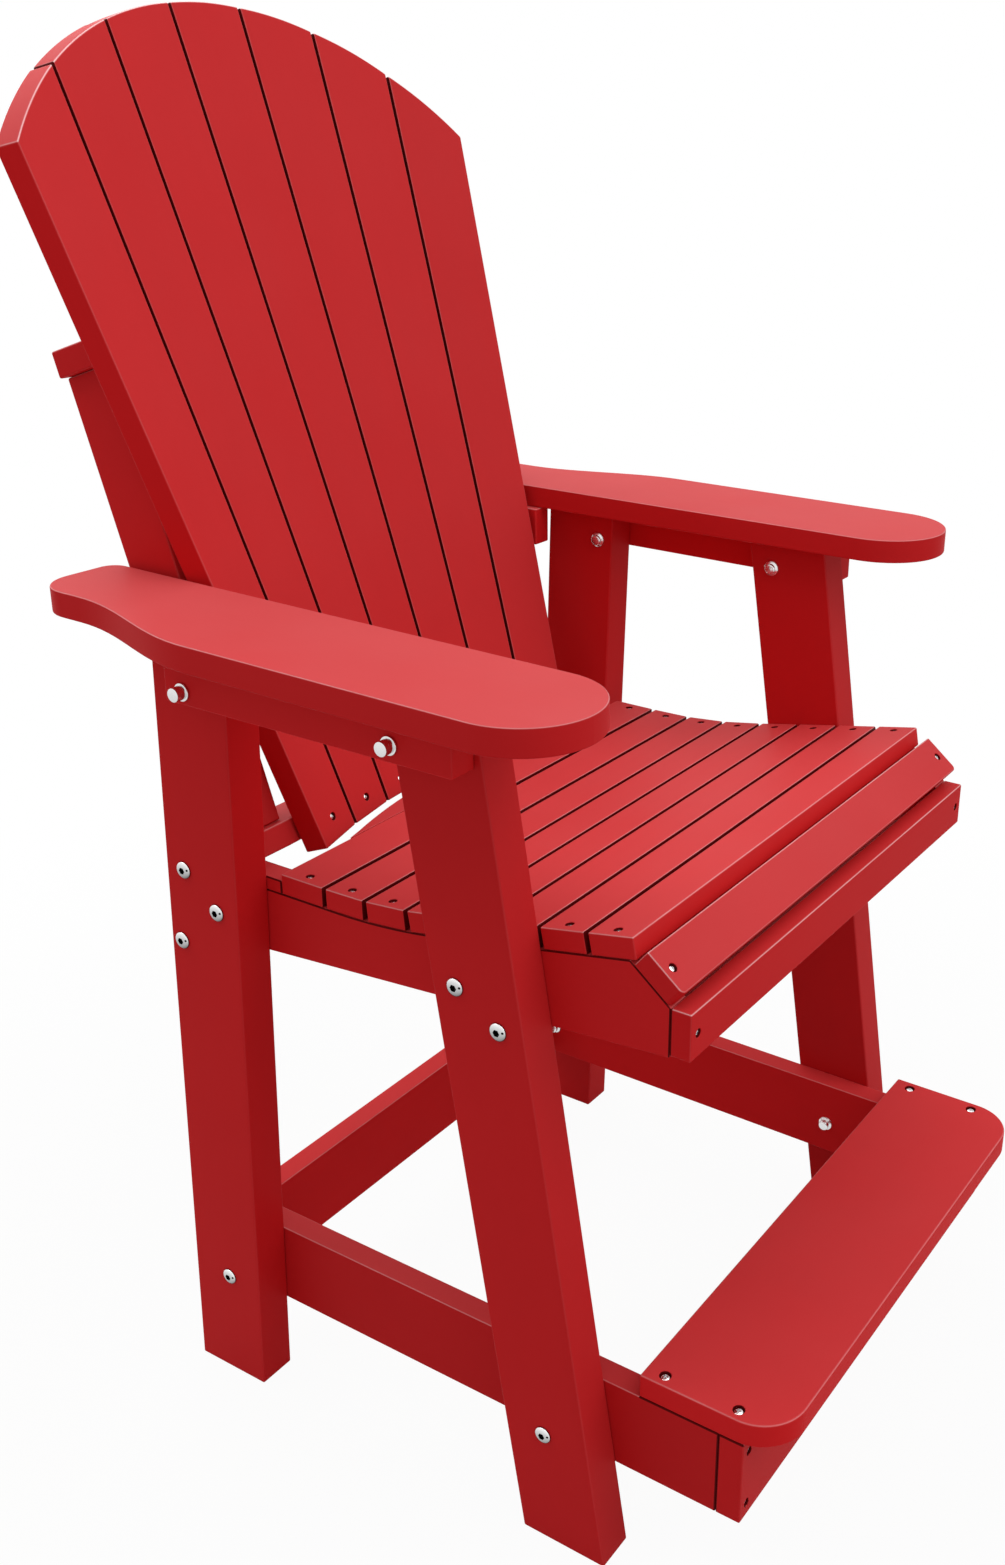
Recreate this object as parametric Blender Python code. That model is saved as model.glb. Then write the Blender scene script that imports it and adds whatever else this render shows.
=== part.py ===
"""Counter-height deck chair of plastic lumber, bolted up from separate boards.

X runs across the chair, -Y is its front and Z is up from the floor, in metres.
"""

import math

import bmesh
import bpy
from mathutils import Matrix, Vector

# Lumber and fits
GAP = 0.0003
EDGE_ROUND = 0.0022
EDGE_SEGMENTS = 1
BOARD = 0.0245
SEAT_BOARD = 0.020
ARC_STEPS = 12

# Legs: boards on edge, leaning in the side view, foot measured at the floor
LEG_THICK = 0.0395
LEG_OUTER = 0.3203
LEG_INNER = LEG_OUTER - LEG_THICK
REAR_FOOT_BACK = 0.2287
REAR_LEG_WIDTH = 0.0867
REAR_LEG_LEAN = math.radians(-1.96)
FRONT_FOOT_BACK = -0.1896
FRONT_LEG_WIDTH = 0.0896
FRONT_LEG_LEAN = math.radians(9.02)

# Arms, their outer rails and rear cleats
ARM_UNDER = 0.8054
ARM_THICK = 0.0238
ARM_CENTRE = 0.3196
ARM_SPLAY = math.radians(1.1)
ARM_WIDTH = 0.1316
ARM_FRONT = -0.2641
ARM_REAR = 0.3255
ARM_WAIST_START = 0.0905
ARM_WAIST_END = 0.2650
ARM_WAIST_STEP = 0.0404
ARM_REAR_OUTER_ROUND = 0.037
ARM_REAR_INNER_ROUND = 0.016
ARM_RAIL_THICK = 0.028
ARM_RAIL_DEPTH = 0.0468
ARM_RAIL_FRONT = -0.1514
ARM_RAIL_REAR = 0.1556
CLEAT_LEAD = 0.0058
CLEAT_LENGTH = 0.076
CLEAT_HEIGHT = 0.0419

# Seat: top line level at the rear, then an arc up to a straight rising front
SEAT_REAR_TOP = 0.581
SEAT_ARC_START = 0.0399
SEAT_ARC_END = -0.0780
SEAT_RISE = 0.195
SLAT_COUNT = 8
SLAT_WIDTH = 0.0427
SLAT_PITCH = 0.0470
SECOND_SLAT_CENTRE = 0.0304
SEAT_REAR_EDGE = 0.1052
TONGUE_REACH = 0.0293
TONGUE_HALF_WIDTH = 0.1855
TONGUE_DROP = 0.0010
NOSING_TOP_Y = -0.2869
NOSING_TOP_Z = 0.6217
NOSING_WIDTH = 0.0434
NOSING_ANGLE = math.radians(38.9)
SEAT_APRON_THICK = 0.0193
SEAT_APRON_REAR = -0.3093
SEAT_APRON_BOTTOM = 0.5345
SEAT_APRON_TOP = 0.5782
SEAT_LEDGER_REAR = -0.2645
STRINGER_REAR = 0.2118
STRINGER_REAR_BOTTOM = 0.4892
STRINGER_SLOPE = 0.0834
STRINGER_SLOPE_BREAK = 0.1877
PACKING_TOP = 0.5738
PACKING_REAR = 0.1827

# Back: slats are rays from one apex below the floor, in a frame leaning with the back
BACK_FOOT_Y = -0.0700
BACK_LEAN = math.atan(0.3343)
BACK_APEX = -0.842
BACK_SPREAD = 0.1406
BACK_HOLLOW = 0.117
BACK_SLATS = 7
BACK_SLAT_THICK = 0.025
BACK_SLAT_SPACE = 0.0048
BACK_BOTTOM_Z = 0.5713
BACK_FOOT_ARC = 0.0043
BACK_ARC_CENTRE = 1.0203
BACK_ARC_RADIUS = 0.3807
BACK_ARC_BEVEL = 0.0028
BACK_FRAME_REAR = 0.1005
UPPER_RAIL_TOP = 1.1056
UPPER_RAIL_HALF = 0.250
LOWER_RAIL_BOTTOM = 0.6150
UPRIGHT_INNER = 0.2135
UPRIGHT_THICK = 0.028
UPRIGHT_FRONT = 0.0375

# Footrest
REST_BOTTOM = 0.0849
REST_HEIGHT = 0.0892
STRETCHER_FRONT = 0.1885
REST_APRON_REAR = -0.3697
REST_BOARD_REAR = -0.2883
REST_BOARD_FRONT = -0.4309
REST_BOARD_ROUND = 0.045
REST_BOARD_SCREW_INSET = 0.0195
REST_APRON_SCREW_INSET = 0.0148

# Fasteners
BOLT_RADIUS = 0.004
BOLT_HEAD_RADIUS = 0.0085
BOLT_HEAD_HEIGHT = 0.0034
BOLT_SIDES = 12
NUT_RADIUS = 0.0070
NUT_HEIGHT = 0.0065
CAP_RADIUS = 0.0065
CAP_HEIGHT = 0.014
WASHER_RADIUS = 0.010
WASHER_HEIGHT = 0.0016
LAG_DEPTH = 0.040
SCREW_BORE = 0.0045
SCREW_BORE_DEPTH = 0.005
SCREW_SIDES = 10

# Bolt places: sideways from a leg's centre line, and up from the board that the leg carries
LAG_RISE = 0.0155
LAG_INSET = 0.0598
SEAT_BOLT_SHIFT = {"rear_upper": -0.0180, "rear_lower": 0.0293, "front_upper": 0.0203, "front_lower": -0.0189}
SEAT_BOLT_RISE = {"rear_upper": 0.0515, "rear_lower": 0.0129, "front_upper": 0.0403, "front_lower": 0.0084}
ARM_BOLT_SHIFT = {"rear": -0.0248, "front": 0.0207}
ARM_BOLT_DROP = {"rear": 0.0344, "front": 0.0314}
REST_BOLT_SHIFT = {"rear": -0.0036, "front": 0.0028}
REST_BOLT_RISE = 0.0374

SIDES = {"left": -1, "right": 1}
RAIL_MID_X = LEG_INNER - BOARD / 2
SIDEWAYS = (math.radians(90), 0.0, math.radians(90))
LEG_FOOT_CENTRE = {"rear": REAR_FOOT_BACK - REAR_LEG_WIDTH / 2,
                   "front": FRONT_FOOT_BACK - FRONT_LEG_WIDTH / 2}
LEG_LEAN = {"rear": REAR_LEG_LEAN, "front": FRONT_LEG_LEAN}


def leg_centre(end, z):
    """Where a leg's centre line passes a height, in the side view."""
    return LEG_FOOT_CENTRE[end] + math.tan(LEG_LEAN[end]) * z


def stringer_bottom(y):
    """Sloping lower edge of the seat's side boards."""
    return STRINGER_REAR_BOTTOM + STRINGER_SLOPE * (STRINGER_REAR - y)


def seat_bolt(key):
    """Side view place of a bolt through a leg and a seat stringer."""
    end = key.split("_")[0]
    z = STRINGER_REAR_BOTTOM
    for _ in range(ARC_STEPS):
        y = leg_centre(end, z) + SEAT_BOLT_SHIFT[key]
        z = stringer_bottom(y) + SEAT_BOLT_RISE[key]
    return y, z


def arm_bolt_place(end):
    """Side view place of a bolt through an arm rail and a leg."""
    z = ARM_UNDER - ARM_BOLT_DROP[end]
    return leg_centre(end, z) + ARM_BOLT_SHIFT[end], z


def rest_bolt(end):
    """Side view place of a bolt through a leg and a footrest rail."""
    z = REST_BOTTOM + REST_BOLT_RISE
    return leg_centre(end, z) + REST_BOLT_SHIFT[end], z


def back_place(depth, s):
    """Side view place of a point that lies behind the back's front plane, s along its lean."""
    return (BACK_FOOT_Y + s * math.sin(BACK_LEAN) + depth * math.cos(BACK_LEAN),
            s * math.cos(BACK_LEAN) - depth * math.sin(BACK_LEAN))


def back_side(z):
    """Half width of the back over its outermost slats' rear edges, at a height."""
    s = z / math.cos(BACK_LEAN) + BACK_SLAT_THICK * math.tan(BACK_LEAN)
    tilt = 2 * BACK_HOLLOW * (1 - 1 / BACK_SLATS)
    return BACK_SPREAD * (s - BACK_APEX) - BACK_SLAT_SPACE / 2 + BACK_SLAT_THICK * tilt


RAIL_LAG = back_place(LAG_INSET, LOWER_RAIL_BOTTOM + LAG_RISE)
SEAT_BOLTS = {key: seat_bolt(key) for key in SEAT_BOLT_SHIFT}
ARM_BOLTS = {end: arm_bolt_place(end) for end in ARM_BOLT_SHIFT}
REST_BOLTS = {end: rest_bolt(end) for end in REST_BOLT_SHIFT}


def finish(name, colour, roughness, metallic):
    """One Principled material in the colour seen on the chair."""
    material = bpy.data.materials.new(name)
    material.use_nodes = True
    shader = material.node_tree.nodes["Principled BSDF"]
    shader.inputs["Base Color"].default_value = (*colour, 1.0)
    shader.inputs["Roughness"].default_value = roughness
    shader.inputs["Metallic"].default_value = metallic
    material.diffuse_color = (*colour, 1.0)
    return material


def empty(name, parent=None):
    """A parent frame, which is not a piece itself."""
    frame = bpy.data.objects.new(name, None)
    bpy.context.collection.objects.link(frame)
    frame.parent = parent
    return frame


def add_piece(name, bm, material, parent):
    """Turn a bmesh into a named, closed, outward-facing object."""
    bmesh.ops.recalc_face_normals(bm, faces=bm.faces)
    mesh = bpy.data.meshes.new(name)
    bm.to_mesh(mesh)
    bm.free()
    piece = bpy.data.objects.new(name, mesh)
    bpy.context.collection.objects.link(piece)
    mesh.materials.append(material)
    piece.parent = parent
    return piece


def round_edges(piece):
    """Routed edges, on every corner sharper than an arc's own steps."""
    bevel = piece.modifiers.new("edge_round", "BEVEL")
    bevel.width = EDGE_ROUND
    bevel.segments = EDGE_SEGMENTS
    bevel.limit_method = "ANGLE"
    bevel.angle_limit = math.radians(30)


def board(name, outline, thickness, parent, location=(0.0, 0.0, 0.0), rotation=(0.0, 0.0, 0.0)):
    """A board cut to a flat outline, its thickness along its own Z."""
    bm = bmesh.new()
    face = bm.faces.new([bm.verts.new((x, y, 0.0)) for x, y in outline])
    grown = bmesh.ops.extrude_face_region(bm, geom=[face])
    moved = [item for item in grown["geom"] if isinstance(item, bmesh.types.BMVert)]
    bmesh.ops.translate(bm, verts=moved, vec=(0.0, 0.0, thickness))
    piece = add_piece(name, bm, LUMBER, parent)
    piece.location = location
    piece.rotation_euler = rotation
    round_edges(piece)
    return piece


def block(name, low, high, parent):
    """A straight board between two corners."""
    size = [high[i] - low[i] for i in range(3)]
    outline = [(0.0, 0.0), (size[0], 0.0), (size[0], size[1]), (0.0, size[1])]
    return board(name, outline, size[2], parent, location=low)


def side_board(name, outline, near_x, thickness, side, parent):
    """A board seen in the side view as (y, z), growing outwards from near_x on one side."""
    start = near_x if side > 0 else -near_x - thickness
    return board(name, outline, thickness, parent, (start, 0.0, 0.0), SIDEWAYS)


def arc(centre, radius, start, end, steps=ARC_STEPS):
    """Points along a circular arc, angles in degrees."""
    points = []
    for i in range(steps + 1):
        angle = math.radians(start + (end - start) * i / steps)
        points.append((centre[0] + radius * math.cos(angle), centre[1] + radius * math.sin(angle)))
    return points


def bore(target, places, axis, radius, length, sides, parent):
    """Cut round holes of one length, each starting at its place and running along the axis."""
    bm = bmesh.new()
    turn = Vector((0.0, 0.0, 1.0)).rotation_difference(Vector(axis)).to_matrix().to_4x4()
    for place in places:
        middle = Vector(place) + Vector(axis).normalized() * length / 2
        bmesh.ops.create_cone(bm, cap_ends=True, segments=sides, radius1=radius, radius2=radius,
                              depth=length, matrix=Matrix.Translation(middle) @ turn)
    cutter = add_piece(target.name + "_bores", bm, STEEL, parent)
    cutter.hide_render = True
    cutter.display_type = "WIRE"
    cut = target.modifiers.new("bores", "BOOLEAN")
    cut.operation = "DIFFERENCE"
    cut.solver = "EXACT"
    cut.object = cutter


def cross_bore(target, places, parent):
    """Bolt holes right across the chair at (y, z) places, on the target's side only."""
    side = 1 if target.name.endswith("right") else -1
    starts = [(side * (LEG_INNER - 2 * BOARD), y, z) for y, z in places]
    length = LEG_THICK + ARM_RAIL_THICK + 3 * BOARD
    bore(target, starts, (side, 0.0, 0.0), BOLT_RADIUS + GAP, length, BOLT_SIDES, parent)


def screw_bores(target, places, axis, parent):
    """Shallow counterbores for the screw heads, open at the face they start from."""
    out = -Vector(axis).normalized() * SCREW_BORE_DEPTH
    starts = [Vector(place) + out for place in places]
    bore(target, starts, axis, SCREW_BORE, 2 * SCREW_BORE_DEPTH, SCREW_SIDES, parent)


def turned(name, profile, location, side, parent):
    """A fastener turned about the X axis from (distance along X, radius) points."""
    bm = bmesh.new()
    verts = [bm.verts.new((along * side, 0.0, radius)) for along, radius in profile]
    edges = [bm.edges.new(pair) for pair in zip(verts, verts[1:])]
    bmesh.ops.spin(bm, geom=verts + edges, cent=(0, 0, 0), axis=(1, 0, 0), dvec=(0, 0, 0),
                   angle=math.tau, steps=BOLT_SIDES, use_merge=True, use_duplicate=False)
    bmesh.ops.remove_doubles(bm, verts=bm.verts, dist=1e-6)
    piece = add_piece(name, bm, STEEL, parent)
    piece.location = location
    piece.data.shade_smooth()
    piece.data.set_sharp_from_angle(angle=math.radians(40))


def dome(start, height, radius, steps=3):
    """Profile of a button head from its rim to its crown, its flat side at start."""
    points = []
    for i in range(steps + 1):
        angle = math.radians(90) * i / steps
        points.append((start + height * math.sin(angle), radius * math.cos(angle)))
    return points


def leg(name, foot_back, width, lean, side, root):
    """A board from the floor to the arm, cut level at both ends."""
    top = ARM_UNDER - GAP
    shift = math.tan(lean) * top
    outline = [(foot_back - width, 0.0), (foot_back, 0.0),
               (foot_back + shift, top), (foot_back - width + shift, top)]
    return side_board(name, outline, LEG_INNER, LEG_THICK, side, root)


def build_legs(root):
    for word, side in SIDES.items():
        rear = leg("leg_rear_" + word, REAR_FOOT_BACK, REAR_LEG_WIDTH, REAR_LEG_LEAN, side, root)
        front = leg("leg_front_" + word, FRONT_FOOT_BACK, FRONT_LEG_WIDTH, FRONT_LEG_LEAN, side, root)
        for part, end in ((rear, "rear"), (front, "front")):
            seat = [place for key, place in SEAT_BOLTS.items() if key.startswith(end)]
            lag = [RAIL_LAG] if end == "rear" else []
            cross_bore(part, seat + lag + [ARM_BOLTS[end], REST_BOLTS[end]], root)


def arm_outline(side):
    """Round front, straight inner edge, and an outer edge that draws in towards the rear."""
    outer = ARM_WIDTH / 2
    waist = outer - ARM_WAIST_STEP
    points = arc((0.0, ARM_FRONT + outer), outer, 180, 360, 2 * ARC_STEPS)
    for i in range(ARC_STEPS + 1):
        t = i / ARC_STEPS
        ease = t * t * (3 - 2 * t)
        points.append((outer - ARM_WAIST_STEP * ease,
                       ARM_WAIST_START + (ARM_WAIST_END - ARM_WAIST_START) * t))
    r = ARM_REAR_OUTER_ROUND
    points += arc((waist - r, ARM_REAR - r), r, 0, 90, ARC_STEPS // 2)
    r = ARM_REAR_INNER_ROUND
    points += arc((r - outer, ARM_REAR - r), r, 90, 180, ARC_STEPS // 2)
    return [(side * x, y) for x, y in points]


def build_arms(root):
    for word, side in SIDES.items():
        board("arm_" + word, arm_outline(side), ARM_THICK, root,
              (side * ARM_CENTRE, 0.0, ARM_UNDER), (0.0, 0.0, side * ARM_SPLAY))
        low = ARM_UNDER - ARM_RAIL_DEPTH
        high = ARM_UNDER - GAP
        outline = [(ARM_RAIL_FRONT, low), (ARM_RAIL_REAR, low), (ARM_RAIL_REAR, high), (ARM_RAIL_FRONT, high)]
        rail = side_board("arm_rail_" + word, outline, LEG_OUTER + GAP, ARM_RAIL_THICK, side, root)
        cross_bore(rail, ARM_BOLTS.values(), root)
        low = ARM_UNDER - CLEAT_HEIGHT
        front = back_place(0.0, ARM_UNDER / math.cos(BACK_LEAN))[0] - CLEAT_LEAD
        rear = front + CLEAT_LENGTH
        outline = [(front, low), (rear, low), (rear, high), (front, high)]
        near_x = max(UPRIGHT_INNER + UPRIGHT_THICK, back_side(ARM_UNDER)) + GAP
        side_board("arm_cleat_" + word, outline, near_x, BOARD, side, root)


def seat_top(y):
    """Height of the seat's top line."""
    radius = (SEAT_ARC_START - SEAT_ARC_END) / SEAT_RISE
    run = max(SEAT_ARC_START - y, 0.0)
    arc_run = min(run, SEAT_ARC_START - SEAT_ARC_END)
    return SEAT_REAR_TOP + arc_run ** 2 / (2 * radius) + SEAT_RISE * (run - arc_run)


def seat_under(y):
    """Line under the slats that the stringers are cut to, with a fitting gap."""
    radius = (SEAT_ARC_START - SEAT_ARC_END) / SEAT_RISE
    slope = min(max(SEAT_ARC_START - y, 0.0) / radius, SEAT_RISE)
    return seat_top(y) - SEAT_BOARD * math.hypot(1, slope) - 2 * GAP


def nosing_under(y):
    """Line under the sloping nosing, with a fitting gap."""
    drop = (SEAT_BOARD + GAP) / math.cos(NOSING_ANGLE)
    return NOSING_TOP_Z - drop + (y - NOSING_TOP_Y) * math.tan(NOSING_ANGLE)


def seat_slat(index, root):
    """One straight cross slat, its two top edges on the seat's top line."""
    centre = SECOND_SLAT_CENTRE - SLAT_PITCH * (index - 2)
    front, rear = centre - SLAT_WIDTH / 2, centre + SLAT_WIDTH / 2
    angle = math.atan2(seat_top(rear) - seat_top(front), SLAT_WIDTH)
    half = LEG_INNER - GAP
    width = SLAT_WIDTH / math.cos(angle)
    outline = [(-half, 0.0), (half, 0.0), (half, width), (-half, width)]
    slat = board("seat_slat_%d" % index, outline, -SEAT_BOARD, root,
                 (0.0, front, seat_top(front)), (angle, 0.0, 0.0))
    middle = (seat_top(front) + seat_top(rear)) / 2
    down = (0.0, math.sin(angle), -math.cos(angle))
    screw_bores(slat, [(x, centre, middle) for x in (-RAIL_MID_X, RAIL_MID_X)], down, root)


def rear_slat(root):
    """The rearmost slat, with a tongue whose rear edge follows the hollow of the back."""
    half = LEG_INNER - GAP
    front = SECOND_SLAT_CENTRE + SLAT_PITCH - SLAT_WIDTH / 2
    bm = bmesh.new()
    tongue = []
    for i in range(ARC_STEPS + 1):
        t = 2 * i / ARC_STEPS - 1
        tongue.append((-t * TONGUE_HALF_WIDTH, SEAT_REAR_EDGE + TONGUE_REACH * (1 - t * t)))
    ends = [(-half, SEAT_REAR_EDGE), (-half, front), (half, front), (half, SEAT_REAR_EDGE)]
    layers = []
    for level in (SEAT_REAR_TOP, SEAT_REAR_TOP - SEAT_BOARD):
        layers.append([bm.verts.new((x, y, level)) for x, y in tongue + ends])
    for vert in layers[0][1:len(tongue) - 1]:
        vert.co.z -= TONGUE_DROP * (vert.co.y - SEAT_REAR_EDGE) / TONGUE_REACH
    count = len(layers[0])
    last = len(tongue) - 1
    bm.faces.new(layers[0][:last + 1])
    bm.faces.new([layers[0][0], layers[0][last]] + layers[0][last + 1:])
    bm.faces.new(layers[1])
    for i in range(count):
        j = (i + 1) % count
        bm.faces.new((layers[0][i], layers[0][j], layers[1][j], layers[1][i]))
    slat = add_piece("seat_slat_1", bm, LUMBER, root)
    round_edges(slat)
    places = [(x, (front + SEAT_REAR_EDGE) / 2, SEAT_REAR_TOP) for x in (-RAIL_MID_X, RAIL_MID_X)]
    screw_bores(slat, places, (0.0, 0.0, -1.0), root)


def nosing(root):
    """The board that turns the seat's front edge down."""
    half = LEG_INNER - GAP
    outline = [(-half, 0.0), (half, 0.0), (half, -NOSING_WIDTH), (-half, -NOSING_WIDTH)]
    piece = board("seat_nosing", outline, -SEAT_BOARD, root,
                  (0.0, NOSING_TOP_Y, NOSING_TOP_Z), (NOSING_ANGLE, 0.0, 0.0))
    reach = NOSING_WIDTH / 2
    middle_y = NOSING_TOP_Y - reach * math.cos(NOSING_ANGLE)
    middle_z = NOSING_TOP_Z - reach * math.sin(NOSING_ANGLE)
    down = (0.0, math.sin(NOSING_ANGLE), -math.cos(NOSING_ANGLE))
    screw_bores(piece, [(x, middle_y, middle_z) for x in (-RAIL_MID_X, RAIL_MID_X)], down, root)


def seat_peak():
    """Side view place where the lines under the slats and under the nosing meet."""
    rise = math.tan(NOSING_ANGLE) + SEAT_RISE
    y = SEAT_ARC_END + (seat_under(SEAT_ARC_END) - nosing_under(SEAT_ARC_END)) / rise
    return y, nosing_under(y)


def stringer_outline():
    """Side board under the seat: sloping bottom, top cut to the slats and the nosing."""
    front = SEAT_APRON_REAR + GAP
    flat = SEAT_REAR_TOP - SEAT_BOARD - 2 * GAP
    points = [(STRINGER_REAR, STRINGER_REAR_BOTTOM), (STRINGER_REAR, rail_under(STRINGER_REAR))]
    points += [(STRINGER_SLOPE_BREAK, flat), (SEAT_ARC_START, flat)]
    for i in range(1, ARC_STEPS + 1):
        y = SEAT_ARC_START + (SEAT_ARC_END - SEAT_ARC_START) * i / ARC_STEPS
        points.append((y, seat_under(y)))
    points += [seat_peak(), (front, nosing_under(front)), (front, stringer_bottom(front))]
    return points


def rail_under(y):
    """Height of the lower back rail's underside in the side view, less a fitting gap."""
    lean_sin, lean_cos = math.sin(BACK_LEAN), math.cos(BACK_LEAN)
    depth = (y - BACK_FOOT_Y - LOWER_RAIL_BOTTOM * lean_sin) / lean_cos
    return LOWER_RAIL_BOTTOM * lean_cos - depth * lean_sin - 2 * GAP


def build_seat(root):
    rear_slat(root)
    for index in range(2, SLAT_COUNT + 1):
        seat_slat(index, root)
    nosing(root)
    near_x = LEG_INNER - BOARD
    packing_floor = SEAT_REAR_TOP - SEAT_BOARD - GAP
    packing_front = SEAT_REAR_EDGE + 2 * GAP
    lean = math.tan(BACK_LEAN)
    crest = PACKING_REAR - (PACKING_TOP - rail_under(PACKING_REAR)) / lean
    packing = [(packing_front, packing_floor), (PACKING_REAR, packing_floor),
               (PACKING_REAR, rail_under(PACKING_REAR)), (crest, PACKING_TOP), (packing_front, PACKING_TOP)]
    for word, side in SIDES.items():
        stringer = side_board("seat_stringer_" + word, stringer_outline(), near_x - GAP, BOARD, side, root)
        cross_bore(stringer, SEAT_BOLTS.values(), root)
        side_board("seat_packing_" + word, packing, near_x - GAP, BOARD, side, root)
    front = SEAT_LEDGER_REAR - BOARD
    ledger = [(front, SEAT_APRON_BOTTOM), (SEAT_LEDGER_REAR, SEAT_APRON_BOTTOM),
              (SEAT_LEDGER_REAR, seat_under(SEAT_LEDGER_REAR)), seat_peak(), (front, nosing_under(front))]
    half = near_x - 2 * GAP
    side_board("seat_ledger", ledger, -half, 2 * half, 1, root)
    half = LEG_INNER - GAP
    apron = block("seat_apron", (-half, SEAT_APRON_REAR - SEAT_APRON_THICK, SEAT_APRON_BOTTOM),
                  (half, SEAT_APRON_REAR, SEAT_APRON_TOP), root)
    middle = (SEAT_APRON_BOTTOM + SEAT_APRON_TOP) / 2
    face = SEAT_APRON_REAR - SEAT_APRON_THICK
    screw_bores(apron, [(x, face, middle) for x in (-RAIL_MID_X, RAIL_MID_X)], (0.0, 1.0, 0.0), root)


def back_point(u, s):
    """Point on the front of the back: u from -1 to 1 across, s along the lean."""
    half = BACK_SPREAD * (s - BACK_APEX)
    return Vector((u * half, BACK_HOLLOW * half * (1 - u * u), s))


def rear_line(x, s):
    """Depth of the curve that lies just behind the slats, at one height."""
    half = BACK_SPREAD * (s - BACK_APEX)
    u = min(abs(x) / half, 1.0)
    return BACK_HOLLOW * half * (1 - u * u) + BACK_SLAT_THICK * math.hypot(1, 2 * BACK_HOLLOW * u) + 2 * GAP


def back_slat(index, frame):
    """One flat slat between two rays, foot and head on common arcs, its head cut rising to the rear."""
    u = [2 * (index + i) / BACK_SLATS - 1 for i in (0, 1)]
    apex = Vector((0.0, 0.0, BACK_APEX))
    rays = [back_point(k, 0.0) - apex for k in u]
    across = (back_point(u[1], 0.0) - back_point(u[0], 0.0)).normalized()
    normal = rays[1].cross(rays[0]).normalized()
    normal = normal if normal.y > 0 else -normal

    def on_plane(x, s):
        return Vector((x, -(normal.x * x + normal.z * (s - BACK_APEX)) / normal.y, s))

    def edge(k, s):
        inset = BACK_SLAT_SPACE / 2 * (1 if k == u[0] else -1)
        return k * BACK_SPREAD * (s - BACK_APEX) + inset

    corners = []
    for k in u:
        s = (BACK_BOTTOM_Z + BACK_FOOT_ARC * (1 - k * k)) / math.cos(BACK_LEAN)
        s += back_point(k, s).y * math.tan(BACK_LEAN)
        corners.append((edge(k, s), s))
    ends = []
    for k in u:
        s = BACK_ARC_CENTRE + BACK_ARC_RADIUS
        for _ in range(ARC_STEPS):
            s = BACK_ARC_CENTRE + math.sqrt(BACK_ARC_RADIUS ** 2 - edge(k, s) ** 2)
        ends.append(edge(k, s))
    crown = []
    for i in range(ARC_STEPS + 1):
        x = ends[1] + (ends[0] - ends[1]) * i / ARC_STEPS
        crown.append((x, BACK_ARC_CENTRE + math.sqrt(BACK_ARC_RADIUS ** 2 - x * x)))
    up = across.cross(normal)
    up = up if up.z > 0 else -up
    place = Matrix((across, normal, up)).transposed().to_4x4()
    place.translation = on_plane(*corners[0])
    back_to_local = place.inverted()
    bm = bmesh.new()
    face = bm.faces.new([bm.verts.new(back_to_local @ on_plane(x, s)) for x, s in corners + crown])
    grown = bmesh.ops.extrude_face_region(bm, geom=[face])
    moved = [item for item in grown["geom"] if isinstance(item, bmesh.types.BMVert)]
    bmesh.ops.translate(bm, verts=moved, vec=(0.0, BACK_SLAT_THICK, 0.0))
    head = [vert for vert in moved if vert.co.z > BACK_BOTTOM_Z / 2]
    bmesh.ops.translate(bm, verts=head, vec=(0.0, 0.0, BACK_ARC_BEVEL))
    slat = add_piece("back_slat_%d" % (index + 1), bm, LUMBER, frame)
    slat.matrix_local = place
    round_edges(slat)
    screw = LOWER_RAIL_BOTTOM + BOARD / 2
    middle_u = (u[0] + u[1]) / 2
    screw_bores(slat, [on_plane(middle_u * BACK_SPREAD * (screw - BACK_APEX), screw)], normal, frame)


def back_rail(name, bottom, half, frame):
    """A board square to the slats, its front edge hollowed to sit behind them."""
    top = bottom + BOARD
    points = [(half, BACK_FRAME_REAR), (-half, BACK_FRAME_REAR)]
    steps = 2 * ARC_STEPS
    for i in range(steps + 1):
        x = half * (2 * i / steps - 1)
        points.append((x, max(rear_line(x, bottom), rear_line(x, top))))
    return board(name, points, BOARD, frame, (0.0, 0.0, bottom))


def build_back(root):
    frame = empty("back_frame", root)
    frame.location = (0.0, BACK_FOOT_Y, 0.0)
    frame.rotation_euler = (-BACK_LEAN, 0.0, 0.0)
    for index in range(BACK_SLATS):
        back_slat(index, frame)
    back_rail("back_rail_upper", UPPER_RAIL_TOP - BOARD, UPPER_RAIL_HALF, frame)
    lower = back_rail("back_rail_lower", LOWER_RAIL_BOTTOM, LEG_INNER - GAP, frame)
    for side in SIDES.values():
        hole_end = (side * (LEG_INNER - LAG_DEPTH - GAP), *RAIL_LAG)
        bore(lower, [hole_end], (side, 0.0, 0.0), BOLT_RADIUS + GAP, LAG_DEPTH + BOARD, BOLT_SIDES, root)
    low = LOWER_RAIL_BOTTOM + BOARD + GAP
    high = UPPER_RAIL_TOP - BOARD - GAP
    for word, side in SIDES.items():
        inner, outer = side * UPRIGHT_INNER, side * (UPRIGHT_INNER + UPRIGHT_THICK)
        block("back_upright_" + word, (min(inner, outer), UPRIGHT_FRONT, low),
              (max(inner, outer), BACK_FRAME_REAR, high), frame)


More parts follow.
